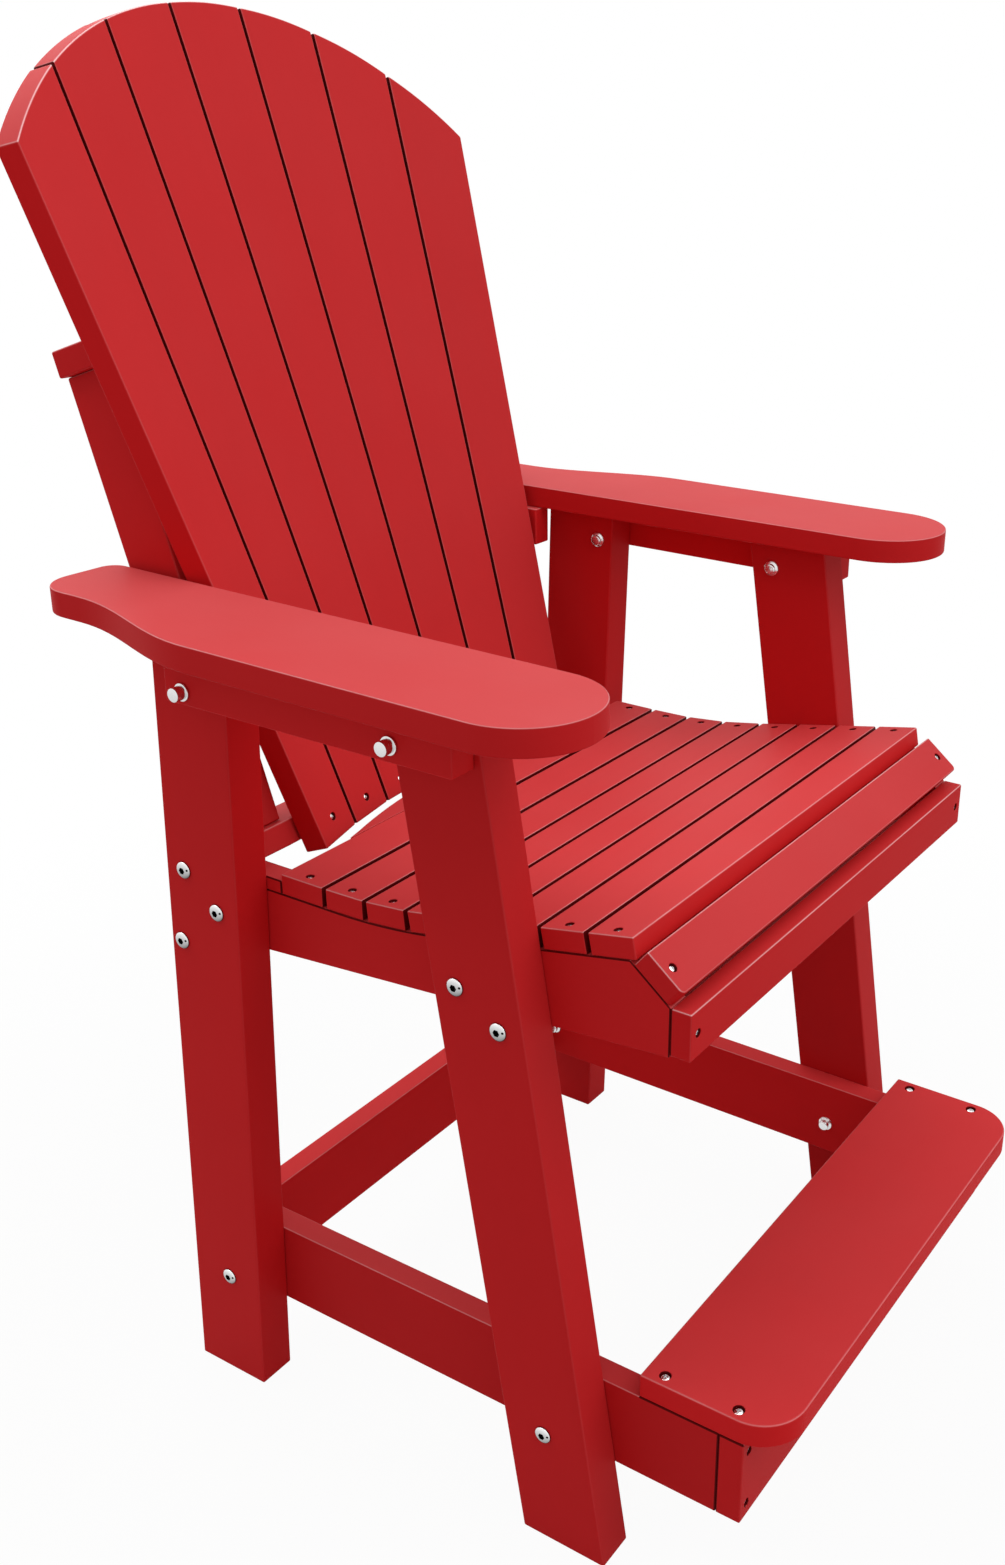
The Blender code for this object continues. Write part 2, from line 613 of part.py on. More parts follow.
def build_footrest(root):
    top = REST_BOTTOM + REST_HEIGHT
    half = LEG_INNER - GAP
    rail = [(REST_APRON_REAR + GAP, REST_BOTTOM), (STRETCHER_FRONT - GAP, REST_BOTTOM),
            (STRETCHER_FRONT - GAP, top), (REST_APRON_REAR + GAP, top)]
    for word, side in SIDES.items():
        piece = side_board("footrest_rail_" + word, rail, LEG_INNER - BOARD - GAP, BOARD, side, root)
        cross_bore(piece, REST_BOLTS.values(), root)
    block("footrest_stretcher", (-half, STRETCHER_FRONT, REST_BOTTOM),
          (half, STRETCHER_FRONT + BOARD, top), root)
    face = REST_APRON_REAR - BOARD
    apron = block("footrest_apron", (-half, face, REST_BOTTOM), (half, REST_APRON_REAR, top), root)
    levels = (REST_BOTTOM + REST_APRON_SCREW_INSET, top - REST_APRON_SCREW_INSET)
    screws = [(x, face, z) for x in (-RAIL_MID_X, RAIL_MID_X) for z in levels]
    screw_bores(apron, screws, (0.0, 1.0, 0.0), root)
    r = REST_BOARD_ROUND
    outline = arc((-half + r, REST_BOARD_FRONT + r), r, 180, 270)
    outline += arc((half - r, REST_BOARD_FRONT + r), r, 270, 360)
    outline += [(half, REST_BOARD_REAR), (-half, REST_BOARD_REAR)]
    piece = board("footrest_board", outline, BOARD, root, (0.0, 0.0, top + GAP))
    screw_y = (REST_BOARD_REAR - REST_BOARD_SCREW_INSET, REST_APRON_REAR - BOARD / 2)
    screws = [(x, y, top + GAP + BOARD) for x in (-RAIL_MID_X, RAIL_MID_X) for y in screw_y]
    screw_bores(piece, screws, (0.0, 0.0, -1.0), root)


def through_bolt(name, place, side, root):
    """Button head outside the leg, a nut inside the board that the leg carries."""
    grip = LEG_THICK + BOARD + 2 * GAP
    profile = list(reversed(dome(GAP, BOLT_HEAD_HEIGHT, BOLT_HEAD_RADIUS)))
    profile += [(GAP, BOLT_RADIUS), (-grip - GAP, BOLT_RADIUS), (-grip - GAP, NUT_RADIUS)]
    profile += [(-grip - NUT_HEIGHT, NUT_RADIUS), (-grip - NUT_HEIGHT, 0.0)]
    turned(name, profile, (side * LEG_OUTER, *place), side, root)


def rail_lag(name, place, side, root):
    """Button head outside the leg, its shank ending inside the lower back rail."""
    profile = list(reversed(dome(GAP, BOLT_HEAD_HEIGHT, BOLT_HEAD_RADIUS)))
    profile += [(GAP, BOLT_RADIUS), (-LEG_THICK - LAG_DEPTH, BOLT_RADIUS), (-LEG_THICK - LAG_DEPTH, 0.0)]
    turned(name, profile, (side * LEG_OUTER, *place), side, root)


def arm_bolt(name, place, side, root):
    """Button head inside the leg, a washer and a cap nut outside the arm rail."""
    outside = ARM_RAIL_THICK + 2 * GAP
    inside = -LEG_THICK - GAP
    profile = list(reversed(dome(inside, -BOLT_HEAD_HEIGHT, BOLT_HEAD_RADIUS)))
    profile += [(inside, BOLT_RADIUS), (outside, BOLT_RADIUS), (outside, WASHER_RADIUS)]
    profile += [(outside + WASHER_HEIGHT, WASHER_RADIUS), (outside + WASHER_HEIGHT, CAP_RADIUS)]
    profile += [(outside + CAP_HEIGHT, CAP_RADIUS), (outside + CAP_HEIGHT, 0.0)]
    turned(name, profile, (side * LEG_OUTER, *place), side, root)


def build_bolts(root):
    for word, side in SIDES.items():
        rail_lag("bolt_rail_" + word, RAIL_LAG, side, root)
        for key, place in SEAT_BOLTS.items():
            through_bolt("bolt_seat_%s_%s" % (key, word), place, side, root)
        for key, place in REST_BOLTS.items():
            through_bolt("bolt_footrest_%s_%s" % (key, word), place, side, root)
        for key, place in ARM_BOLTS.items():
            arm_bolt("bolt_arm_%s_%s" % (key, word), place, side, root)


for old in list(bpy.data.objects):
    bpy.data.objects.remove(old, do_unlink=True)
LUMBER = finish("red_poly_lumber", (0.55, 0.02, 0.025), 0.45, 0.0)
STEEL = finish("stainless_steel", (0.72, 0.72, 0.72), 0.3, 1.0)
chair = empty("chair")
build_legs(chair)
build_footrest(chair)
build_seat(chair)
build_back(chair)
build_arms(chair)
build_bolts(chair)
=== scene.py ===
import itertools
import math

import bmesh
import bpy
from mathutils import Matrix, Vector


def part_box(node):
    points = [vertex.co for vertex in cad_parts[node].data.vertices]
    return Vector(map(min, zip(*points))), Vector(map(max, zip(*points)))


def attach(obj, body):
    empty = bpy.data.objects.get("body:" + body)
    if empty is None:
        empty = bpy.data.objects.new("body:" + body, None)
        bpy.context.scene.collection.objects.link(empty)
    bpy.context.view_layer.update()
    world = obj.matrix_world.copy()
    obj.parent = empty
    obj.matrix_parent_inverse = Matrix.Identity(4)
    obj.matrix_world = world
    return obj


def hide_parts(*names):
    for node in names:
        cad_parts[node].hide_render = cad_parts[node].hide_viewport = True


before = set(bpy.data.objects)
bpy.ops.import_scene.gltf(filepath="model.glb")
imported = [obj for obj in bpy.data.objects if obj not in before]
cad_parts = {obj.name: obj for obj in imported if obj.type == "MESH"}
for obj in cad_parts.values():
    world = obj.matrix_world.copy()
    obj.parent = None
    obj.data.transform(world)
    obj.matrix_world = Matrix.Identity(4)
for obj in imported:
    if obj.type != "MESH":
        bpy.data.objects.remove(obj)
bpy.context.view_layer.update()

# Legs: four boards on edge from the floor to the arms, the front pair raking back as they rise.
# They are solid extruded plastic lumber, coloured right through, cut level at both ends and
# rounded over with a router; stainless bolts hold them to the rails on their inner faces.

SIDES = {"left": -1, "right": 1}
LEG_INNER, LEG_OUTER = 0.2808, 0.3203
LEG_TOP = 0.8051
LEG_FOOT_BACK = {"rear": 0.2287, "front": -0.1896}
LEG_WIDTH = {"rear": 0.0867, "front": 0.0896}
LEG_RAKE = {"rear": math.radians(-1.96), "front": math.radians(9.02)}
# Painted light and shade: each leg's colour is scaled lighter or darker, in place of a difference
# in how it is lit
LEG_PAINTED_LIGHT = {"rear_left": 1.02, "rear_right": 0.98, "front_left": 1.0, "front_right": 0.93}
EASED_EDGE, EASED_STEPS = 0.0019, 4
# Share of wear and painted highlight on the crest of an eased edge, less on its shoulders
EASED_WEAR_AND_HIGHLIGHT, EASED_SHOULDER = 0.45, 0.30
STRIP_SHARE = 0.55  # a strip of the rounding is narrower than this share of its radius
SAWN_CORNER, SMOOTH_TURN = math.radians(30), math.radians(35)
SCREW_SINK, SINK_SHARE = 0.0037, 0.6  # a bore's walls lie within this share of its depth
END_TURN = 0.50  # a face turned this far to the board's length is one of its ends
# Share of painted sheen on faces that turn up, for a board in the open
PLAIN_SHEEN = 0.19
BOARD_STARTS = Vector((0.731, 0.377, 0.519))
DEEP_RED, BRIGHT_RED = (0.580, 0.0082, 0.0102, 1.0), (0.625, 0.0096, 0.0116, 1.0)
STREAK_RED, STREAK_SHARE = (0.53, 0.0070, 0.0090, 1.0), 0.14
# Painted highlight: near-white pink on the crests of eased edges that face up
HIGHLIGHT_PINK = (0.95, 0.58, 0.59, 1.0)
# Painted sheen: pale pink on faces that turn up
SHEEN_PINK = (0.72, 0.30, 0.31, 1.0)
# Painted shade: near-black red in gaps between boards, in joints and in counterbores
PAINTED_SHADE_RED = (0.110, 0.0022, 0.0028, 1.0)
SKIN_SHARE = 0.35
HIGHLIGHT_PATCHES = 26.0
LUMBER_GLOSS, RUBBED_GLOSS = (0.53, 0.56), -0.10
WHOLE = (0.0, 1.0)
VALUE, VECTOR = "NodeSocketFloat", "NodeSocketVector"


def feed(node, inputs):
    """Set a node's inputs to plain values, or link them to the sockets that feed them."""
    for key, value in inputs.items():
        if isinstance(value, bpy.types.NodeSocket):
            node.id_data.links.new(value, node.inputs[key])
        else:
            node.inputs[key].default_value = value


def add_node(tree, kind, inputs=None, **settings):
    """Add a shader node with its settings and its inputs."""
    made = tree.nodes.new("ShaderNode" + kind)
    for name, value in settings.items():
        setattr(made, name, value)
    feed(made, inputs or {})
    return made


def add_group(name, inputs, outputs):
    """A shader node group with named sockets, and its two end nodes."""
    group = bpy.data.node_groups.new(name, "ShaderNodeTree")
    for way, sockets in (("INPUT", inputs), ("OUTPUT", outputs)):
        for socket, kind in sockets.items():
            group.interface.new_socket(socket, in_out=way, socket_type=kind)
    return group, group.nodes.new("NodeGroupInput"), group.nodes.new("NodeGroupOutput")


def blend_colours(tree, factor, first, second):
    """Mix two colours by a factor and give the resulting socket."""
    mixed = add_node(tree, "Mix", {0: factor, 6: first, 7: second}, data_type="RGBA")
    return mixed.outputs[2]


def carry(tree, value, given, wanted=WHOLE):
    """Carry a value from one range over to another and give the resulting socket."""
    ranges = {"From Min": given[0], "From Max": given[1], "To Min": wanted[0], "To Max": wanted[1]}
    return add_node(tree, "MapRange", {"Value": value, **ranges}).outputs["Result"]


def times(tree, first, second):
    """Multiply two values and give the resulting socket."""
    return add_node(tree, "Math", {0: first, 1: second}, operation="MULTIPLY").outputs[0]


def add_share(tree, base, value, share):
    """Add a share of a value to a base and give the resulting socket."""
    made = add_node(tree, "Math", {0: value, 1: share, 2: base}, operation="MULTIPLY_ADD")
    return made.outputs[0]


# Marks that extrusion leaves: long drag lines, cloudy pigment and a fine skin texture
lumber_marks, ends_in, ends_out = add_group(
    "lumber_marks", {"Board": VECTOR}, {"Drag": VALUE, "Cloud": VALUE, "Height": VALUE})
drawn_out = add_node(lumber_marks, "Mapping",
                     {"Vector": ends_in.outputs["Board"], "Scale": (1.6, 85.0, 85.0)})
drag = add_node(lumber_marks, "TexNoise", {"Vector": drawn_out.outputs["Vector"], "Scale": 1.0,
                                           "Detail": 5.0, "Roughness": 0.6})
cloud = add_node(lumber_marks, "TexNoise", {"Vector": ends_in.outputs["Board"], "Scale": 11.0,
                                            "Detail": 3.0, "Roughness": 0.5})
skin = add_node(lumber_marks, "TexNoise", {"Vector": ends_in.outputs["Board"], "Scale": 900.0,
                                           "Detail": 2.0, "Roughness": 0.5})
skin_relief = times(lumber_marks, skin.outputs["Fac"], SKIN_SHARE)
relief = add_share(lumber_marks, skin_relief, drag.outputs["Fac"], 1 - SKIN_SHARE)
feed(ends_out, {"Drag": drag.outputs["Fac"], "Cloud": cloud.outputs["Fac"], "Height": relief})

# Wear and painted highlight: the share of an edge that hands, clothes and stacking have burnished,
# painted lighter as a highlight, most of all where it faces up
burnish_and_highlight, ends_in, ends_out = add_group(
    "burnish_and_highlight", {"Edge": VALUE, "Facing": VECTOR, "Place": VECTOR, "Patch Size": VALUE},
    {"Mask": VALUE})
patches = add_node(burnish_and_highlight, "TexNoise", {"Vector": ends_in.outputs["Place"],
                                         "Scale": ends_in.outputs["Patch Size"], "Detail": 3.0})
patchy = carry(burnish_and_highlight, patches.outputs["Fac"], (0.3, 0.7), (0.70, 1.0))
turned = add_node(burnish_and_highlight, "SeparateXYZ", {"Vector": ends_in.outputs["Facing"]})
facing_up = carry(burnish_and_highlight, turned.outputs["Z"], (0.20, 0.65), (0.06, 1.0))
edge_share = times(burnish_and_highlight, ends_in.outputs["Edge"], patchy)
feed(ends_out, {"Mask": times(burnish_and_highlight, edge_share, facing_up)})

# Painted sheen: a pale sheen painted on what faces up, in place of light reflected from above;
# steel takes the same mask as dust that dulls its gloss
dust_and_sheen, ends_in, ends_out = add_group("dust_and_sheen", {"Facing": VECTOR, "Place": VECTOR}, {"Mask": VALUE})
turned = add_node(dust_and_sheen, "SeparateXYZ", {"Vector": ends_in.outputs["Facing"]})
open_sky = carry(dust_and_sheen, turned.outputs["Z"], (-0.10, 1.0))
spread = add_node(dust_and_sheen, "TexNoise",
                  {"Vector": ends_in.outputs["Place"], "Scale": 7.0, "Detail": 4.0})
uneven = carry(dust_and_sheen, spread.outputs["Fac"], (0.25, 0.75), (0.80, 1.0))
feed(ends_out, {"Mask": times(dust_and_sheen, open_sky, uneven)})

red_lumber = bpy.data.materials.new("red_lumber")
red_lumber.use_nodes = True
tree = red_lumber.node_tree
place = add_node(tree, "Attribute", attribute_name="board").outputs["Vector"]
eased, painted_light, sheen_share, painted_shade = [add_node(tree, "Attribute", attribute_name=name).outputs["Fac"]
                                for name in ("eased", "painted_light", "sheen_share", "painted_shade")]
facing = add_node(tree, "NewGeometry").outputs["Normal"]
marks = add_node(tree, "Group", {"Board": place}, node_tree=lumber_marks).outputs
wear_highlight_mask = add_node(tree, "Group", {"Edge": eased, "Facing": facing, "Place": place,
                               "Patch Size": HIGHLIGHT_PATCHES}, node_tree=burnish_and_highlight).outputs["Mask"]
sheen_mask = add_node(tree, "Group", {"Facing": facing, "Place": place}, node_tree=dust_and_sheen).outputs["Mask"]
# Colour: pigment scaled by painted light, then a painted highlight on edge crests, painted sheen on
# tops and painted shade in gaps
pigment = blend_colours(tree, marks["Cloud"], DEEP_RED, BRIGHT_RED)
streaks = carry(tree, marks["Drag"], WHOLE, (0.0, STREAK_SHARE))
streaked = blend_colours(tree, streaks, pigment, STREAK_RED)
painted_lit = add_node(tree, "VectorMath", {0: streaked, "Scale": painted_light}, operation="SCALE")
highlighted = blend_colours(tree, wear_highlight_mask, painted_lit.outputs["Vector"], HIGHLIGHT_PINK)
sheened = blend_colours(tree, times(tree, sheen_mask, sheen_share), highlighted, SHEEN_PINK)
gloss = carry(tree, marks["Drag"], WHOLE, LUMBER_GLOSS)
relief = add_node(tree, "Bump", {"Height": marks["Height"], "Strength": 0.035, "Distance": 0.0006})
open_edge = add_node(tree, "Math", {0: wear_highlight_mask, 1: painted_shade}, operation="SUBTRACT", use_clamp=True)
feed(tree.nodes["Principled BSDF"], {
    "Base Color": blend_colours(tree, painted_shade, sheened, PAINTED_SHADE_RED),
    "Roughness": add_share(tree, gloss, wear_highlight_mask, RUBBED_GLOSS), "Normal": relief.outputs["Normal"],
    "Coat Weight": open_edge.outputs[0], "Coat Roughness": 0.16, "Specular IOR Level": 0.05})


def plank(name, low, high):
    """A cube primitive brought to a sawn board's size and place."""
    low, high = Vector(low), Vector(high)
    bpy.ops.object.select_all(action="DESELECT")
    bpy.ops.mesh.primitive_cube_add(size=1.0, location=(low + high) / 2)
    piece = bpy.context.object
    piece.name = name
    piece.scale = high - low
    bpy.ops.object.transform_apply()
    return piece


def pick(piece, test, kind="VERT"):
    """In edit mode, select only the points, edges or faces that the test finds."""
    bpy.ops.mesh.select_mode(type=kind)
    bpy.ops.mesh.select_all(action="DESELECT")
    shape = bmesh.from_edit_mesh(piece.data)
    for item in {"VERT": shape.verts, "EDGE": shape.edges, "FACE": shape.faces}[kind]:
        if test(item):
            item.select_set(True)
    shape.select_flush_mode()
    bmesh.update_edit_mesh(piece.data)


def move(piece, test, way):
    """In edit mode, shift the points that the test finds."""
    pick(piece, test)
    bpy.ops.transform.translate(value=way)


def select_only(piece):
    """Make a piece the one that the next operator works on."""
    bpy.ops.object.select_all(action="DESELECT")
    piece.select_set(True)
    bpy.context.view_layer.objects.active = piece


def keep(piece, name, domain, values):
    """Keep a value for each point or face of a piece, for its material to read."""
    kept = piece.data.attributes.new(name, "FLOAT", domain)
    kept.data.foreach_set("value", values)


def ease_edges(piece, radius=EASED_EDGE, wear_and_highlight=EASED_WEAR_AND_HIGHLIGHT):
    """One router pass round every sawn corner; the crest of each rounded strip gets the most wear
    and painted highlight.
    """
    bpy.ops.object.mode_set(mode="EDIT")
    bpy.ops.mesh.select_mode(type="EDGE")
    bpy.ops.mesh.select_all(action="DESELECT")
    bpy.ops.mesh.edges_select_sharp(sharpness=SAWN_CORNER)
    bpy.ops.mesh.bevel(offset=radius, segments=EASED_STEPS, affect="EDGES", clamp_overlap=True)
    shape = bmesh.from_edit_mesh(piece.data)
    narrow = radius * STRIP_SHARE
    strips = {face for face in shape.faces if 2 * face.calc_area() < narrow * face.calc_perimeter()}
    inner = {vert for vert in shape.verts if all(face in strips for face in vert.link_faces)}
    crest = {vert for vert in inner
             if all(edge.other_vert(vert) in inner for edge in vert.link_edges)}
    wear_and_highlights = [wear_and_highlight if vert in crest else wear_and_highlight * EASED_SHOULDER if vert in inner else 0.0
            for vert in shape.verts]
    bpy.ops.object.mode_set(mode="OBJECT")
    keep(piece, "eased", "POINT", wear_and_highlights)


# Counterbore walls and floors are painted dark as shade
def in_bore(centre):
    """Whether a face is the wall or the floor of a screw's counterbore."""
    return any((centre - seat).length < math.hypot(bore, SINK_SHARE * SCREW_SINK)
               for _, seat, _, bore in screw_seats)


def dress_board(piece, along, shut=None, painted_sheen=PLAIN_SHEEN, painted_light=1.0, end_shade=1.0):
    """Smooth the eased edges, keep the flats flat, and give the board its own coordinates.

    Counterbores, and the faces that the shut test finds by normal and centre because they close a
    narrow gap or a joint, are painted dark as shade.
    Each board has its own share of painted sheen on faces that turn up, and its colour scaled
    lighter or darker as painted light.
    End faces can be painted darker, with less painted sheen.
    """
    select_only(piece)
    bpy.ops.object.shade_smooth_by_angle(angle=SMOOTH_TURN)
    even = piece.modifiers.new("even", "WEIGHTED_NORMAL")
    even.keep_sharp = True
    bpy.ops.object.modifier_apply(modifier=even.name)
    along = Vector(along).normalized()
    across = along.orthogonal().normalized()
    axes = (along, across, along.cross(across))
    start = BOARD_STARTS * next(board_numbers)
    places = [vert.co.dot(axis) + shift
              for vert in piece.data.vertices for axis, shift in zip(axes, start)]
    board = piece.data.attributes.new("board", "FLOAT_VECTOR", "POINT")
    board.data.foreach_set("vector", places)
    faces = piece.data.polygons
    in_shade = [in_bore(face.center) or bool(shut and shut(face.normal, face.center))
             for face in faces]
    end_shades = [end_shade if abs(face.normal.dot(along)) > END_TURN else 1.0 for face in faces]
    keep(piece, "painted_shade", "FACE", [float(value) for value in in_shade])
    keep(piece, "sheen_share", "FACE", [painted_sheen * end_share for end_share in end_shades])
    keep(piece, "painted_light", "FACE", [painted_light * end_share for end_share in end_shades])
    piece.data.materials.append(red_lumber)


board_numbers = itertools.count(1)
screw_seats = []
for end, foot_back in LEG_FOOT_BACK.items():
    rake = math.tan(LEG_RAKE[end])
    for word, side in SIDES.items():
        xs = sorted((side * LEG_INNER, side * LEG_OUTER))
        leg = plank("leg_%s_%s_board" % (end, word), (xs[0], foot_back - LEG_WIDTH[end], 0.0),
                    (xs[1], foot_back, LEG_TOP))
        bpy.ops.object.mode_set(mode="EDIT")
        move(leg, lambda v: v.co.z > LEG_TOP / 2, (0.0, rake * LEG_TOP, 0.0))
        ease_edges(leg)
        dress_board(leg, (0.0, rake, 1.0), painted_light=LEG_PAINTED_LIGHT["%s_%s" % (end, word)])
        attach(leg, "root")
        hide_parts("leg_%s_%s" % (end, word))

# Low frame: two side rails, the stretcher that joins them behind and the apron in front.
# They are boards on edge of the same plastic lumber, butted together; the rails are bolted
# to the legs, the stretcher and the apron are screwed to the rails' ends.

ACROSS, TO_REAR, DOWN = (1.0, 0.0, 0.0), (0.0, 1.0, 0.0), (0.0, 0.0, -1.0)
# Each board's length, and its colour scaled lighter or darker as painted light
LOW_FRAME = {"footrest_rail_left": (TO_REAR, 0.92), "footrest_rail_right": (TO_REAR, 1.16),
             "footrest_stretcher": (ACROSS, 1.16), "footrest_apron": (ACROSS, 1.0)}
# Less painted sheen on the low frame and footrest, which lie in the seat's shade
REST_SHEEN = 0.135
RAIL_EASE = 0.0014
SCREW_BORE, BORE_LIP, BORE_SIDES = 0.0040, 0.0005, 28
SCREW_X = 0.26855
APRON_SCREW_INSET = 0.0148
CORNER_TURN, SIDE_TURN = 0.15, 0.99  # between these a face is on a rounded corner


def cut_away(piece, tool):
    """Take the shape of a tool out of a piece, and put the tool away."""
    bpy.context.view_layer.objects.active = piece
    cut = piece.modifiers.new("cut", "BOOLEAN")
    cut.operation, cut.solver, cut.object = "DIFFERENCE", "EXACT", tool
    bpy.ops.object.modifier_apply(modifier=cut.name)
    bpy.data.objects.remove(tool)


def sink_screw(piece, name, place, into, bore=SCREW_BORE):
    """Counterbore a board at a place on its face, and note the seat for the screw there."""
    place, into = Vector(place), Vector(into).normalized()
    half = SCREW_SINK / 2
    wider = 1 + 2 * BORE_LIP / bore
    bpy.ops.object.select_all(action="DESELECT")
    bpy.ops.mesh.primitive_cylinder_add(vertices=BORE_SIDES, radius=bore, depth=SCREW_SINK)
    bit = bpy.context.object
    bpy.ops.object.mode_set(mode="EDIT")
    pick(bit, lambda f: f.calc_center_median().z > half / 2, "FACE")
    bpy.ops.transform.translate(value=(0.0, 0.0, -BORE_LIP))
    bpy.ops.mesh.extrude_region_move(TRANSFORM_OT_translate={"value": (0.0, 0.0, 2 * BORE_LIP)})
    bpy.ops.transform.resize(value=(wider, wider, 1.0))
    bpy.ops.object.mode_set(mode="OBJECT")
    turn = Vector(DOWN).rotation_difference(into)
    bit.matrix_world = Matrix.Translation(place + into * half) @ turn.to_matrix().to_4x4()
    cut_away(piece, bit)
    wear_and_highlights = piece.data.attributes["eased"].data
    for vert in piece.data.vertices:
        if (vert.co - place).length < bore + SCREW_SINK + BORE_LIP:
            wear_and_highlights[vert.index].value = 0.0
    screw_seats.append((name, place + into * SCREW_SINK, -into, bore))


def score(places, axis):
    """In edit mode, mark cross lines on a board, so that an edge can be curved between them."""
    for place in places:
        bpy.ops.mesh.select_all(action="SELECT")
        bpy.ops.mesh.bisect(plane_co=Vector(axis) * place, plane_no=axis)


def on_corner(normal):
    """Whether a face lies on an eased corner beside a board's left or right side."""
    return CORNER_TURN < abs(normal.x) < SIDE_TURN


# Painted shade: the faces these tests find are painted dark where low boards close against each
# other
def in_low_joint(normal, centre):
    """Corners that close against the footrest board above, or a rail's end against the apron."""
    butted = normal.y < -CORNER_TURN if centre.y > apron_rear else normal.y > CORNER_TURN
    return on_corner(normal) and centre.y < rest_rear and (butted or normal.z > CORNER_TURN)


rest_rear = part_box("footrest_board")[1].y
apron_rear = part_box("footrest_apron")[1].y
for node, (along, painted_light) in LOW_FRAME.items():
    low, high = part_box(node)
    rail = plank(node + "_board", low, high)
    bpy.ops.object.mode_set(mode="EDIT")
    score([rest_rear], TO_REAR)
    ease_edges(rail, RAIL_EASE)
    if node == "footrest_apron":
        levels = {"lower": low.z + APRON_SCREW_INSET, "upper": high.z - APRON_SCREW_INSET}
        for word, side in SIDES.items():
            for level, z in levels.items():
                sink_screw(rail, "footrest_apron_%s_%s" % (level, word),
                           (side * SCREW_X, low.y, z), TO_REAR)
    dress_board(rail, along, in_low_joint, REST_SHEEN, painted_light)
    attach(rail, "root")
    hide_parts(node)

# Footrest board: a wide board laid flat on the low frame, its two front corners cut round.
# Same plastic lumber, screwed down through counterbores into the rails and the apron.

REST_CORNER, REST_CORNER_STEPS = 0.045, 14
REST_SCREW_INSET, REST_SCREW_FRONT = 0.0195, -0.38195
# Footrest colour brightened as painted light against the seat's shade; its share of wear and
# painted highlight
REST_PAINTED_LIGHT, REST_WEAR_AND_HIGHLIGHT = 1.16, 0.36
WIDE_BORE = 0.0056
NEAR = 1e-5  # points closer than this are on one line


def round_front(piece, limit, radius, steps):
    """In edit mode, round the corners in front of a limit that run through the board."""
    pick(piece, lambda e: abs(e.verts[0].co.x - e.verts[1].co.x) < NEAR
         and all(v.co.y < limit for v in e.verts), "EDGE")
    bpy.ops.mesh.bevel(offset=radius, segments=steps, affect="EDGES")


low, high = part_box("footrest_board")
rest = plank("footrest_board_board", low, high)
bpy.ops.object.mode_set(mode="EDIT")
round_front(rest, low.y + NEAR, REST_CORNER, REST_CORNER_STEPS)
ease_edges(rest, wear_and_highlight=REST_WEAR_AND_HIGHLIGHT)
for word, side in SIDES.items():
    for end, y in (("rear", high.y - REST_SCREW_INSET), ("front", REST_SCREW_FRONT)):
        sink_screw(rest, "footrest_board_%s_%s" % (end, word), (side * SCREW_X, y, high.z), DOWN,
                   WIDE_BORE)
dress_board(rest, ACROSS, painted_sheen=REST_SHEEN, painted_light=REST_PAINTED_LIGHT)
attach(rest, "root")
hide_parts("footrest_board")

# Seat stringers: the two side boards that carry the slats, with a packing block behind.
# Their top edge is sawn to the hollow of the seat, their bottom edge falls to the rear;
# two bolts at each leg hold them, and the blocks fill the step under the back's lower rail.

SEAT_THICK = 0.020
SEAT_REAR_TOP = 0.581
SEAT_ARC_START, SEAT_ARC_END = 0.0399, -0.0780
SEAT_RISE = 0.195
NOSING_TOP = (-0.2869, 0.6217)
NOSING_ANGLE = math.radians(38.9)
FIT = 0.0003  # clearance between boards that touch
STRINGER_FRONT, STRINGER_REAR = -0.3090, 0.2118
STRINGER_BREAK = 0.1877
STRINGER_BOTTOM, STRINGER_FALL = 0.4892, 0.0834
# Stringers and packing brightened a little as painted light
STRINGER_EASE, STRINGER_PAINTED_LIGHT = 0.0010, 1.06
BACK_FOOT = -0.0700
BACK_LEAN = math.atan(0.3343)
LOWER_RAIL = 0.6150
PACKING_FRONT, PACKING_REAR, PACKING_TOP = 0.1058, 0.1827, 0.5738
PACKING_EASE = 0.0012
CURVE_STEPS = 16


def spaced(first, last, steps):
    """Even stations from the first place to the last."""
    return [first + (last - first) * step / steps for step in range(steps + 1)]


def saw_off(place, beyond):
    """In edit mode, saw a board through at a plane and drop what lies beyond it."""
    bpy.ops.mesh.select_all(action="SELECT")
    bpy.ops.mesh.bisect(plane_co=place, plane_no=beyond, use_fill=True, clear_outer=True)


def seat_top(y):
    """Height of the seat's top line: level, then an arc, then a straight rise to the front."""
    span = SEAT_ARC_START - SEAT_ARC_END
    run = max(SEAT_ARC_START - y, 0.0)
    bent = min(run, span)
    return SEAT_REAR_TOP + bent ** 2 * SEAT_RISE / (2 * span) + SEAT_RISE * (run - bent)


def seat_under(y):
    """Height just under the slats."""
    span = SEAT_ARC_START - SEAT_ARC_END
    slope = min(max(SEAT_ARC_START - y, 0.0) * SEAT_RISE / span, SEAT_RISE)
    return seat_top(y) - SEAT_THICK * math.hypot(1, slope) - 2 * FIT


def nosing_under(y):
    """Height just under the sloping front board."""
    drop = (SEAT_THICK + FIT) / math.cos(NOSING_ANGLE)
    return NOSING_TOP[1] - drop + (y - NOSING_TOP[0]) * math.tan(NOSING_ANGLE)


def rail_under(y):
    """Height just under the back's lower rail."""
    depth = (y - BACK_FOOT - LOWER_RAIL * math.sin(BACK_LEAN)) / math.cos(BACK_LEAN)
    return LOWER_RAIL * math.cos(BACK_LEAN) - depth * math.sin(BACK_LEAN) - 2 * FIT


# Painted shade: the faces this test finds are painted dark where a board closes against one above
# or in front
def in_side_joint(normal, centre):
    """Corners that close against a board above or in front."""
    return on_corner(normal) and (normal.z > CORNER_TURN or normal.y < -CORNER_TURN)


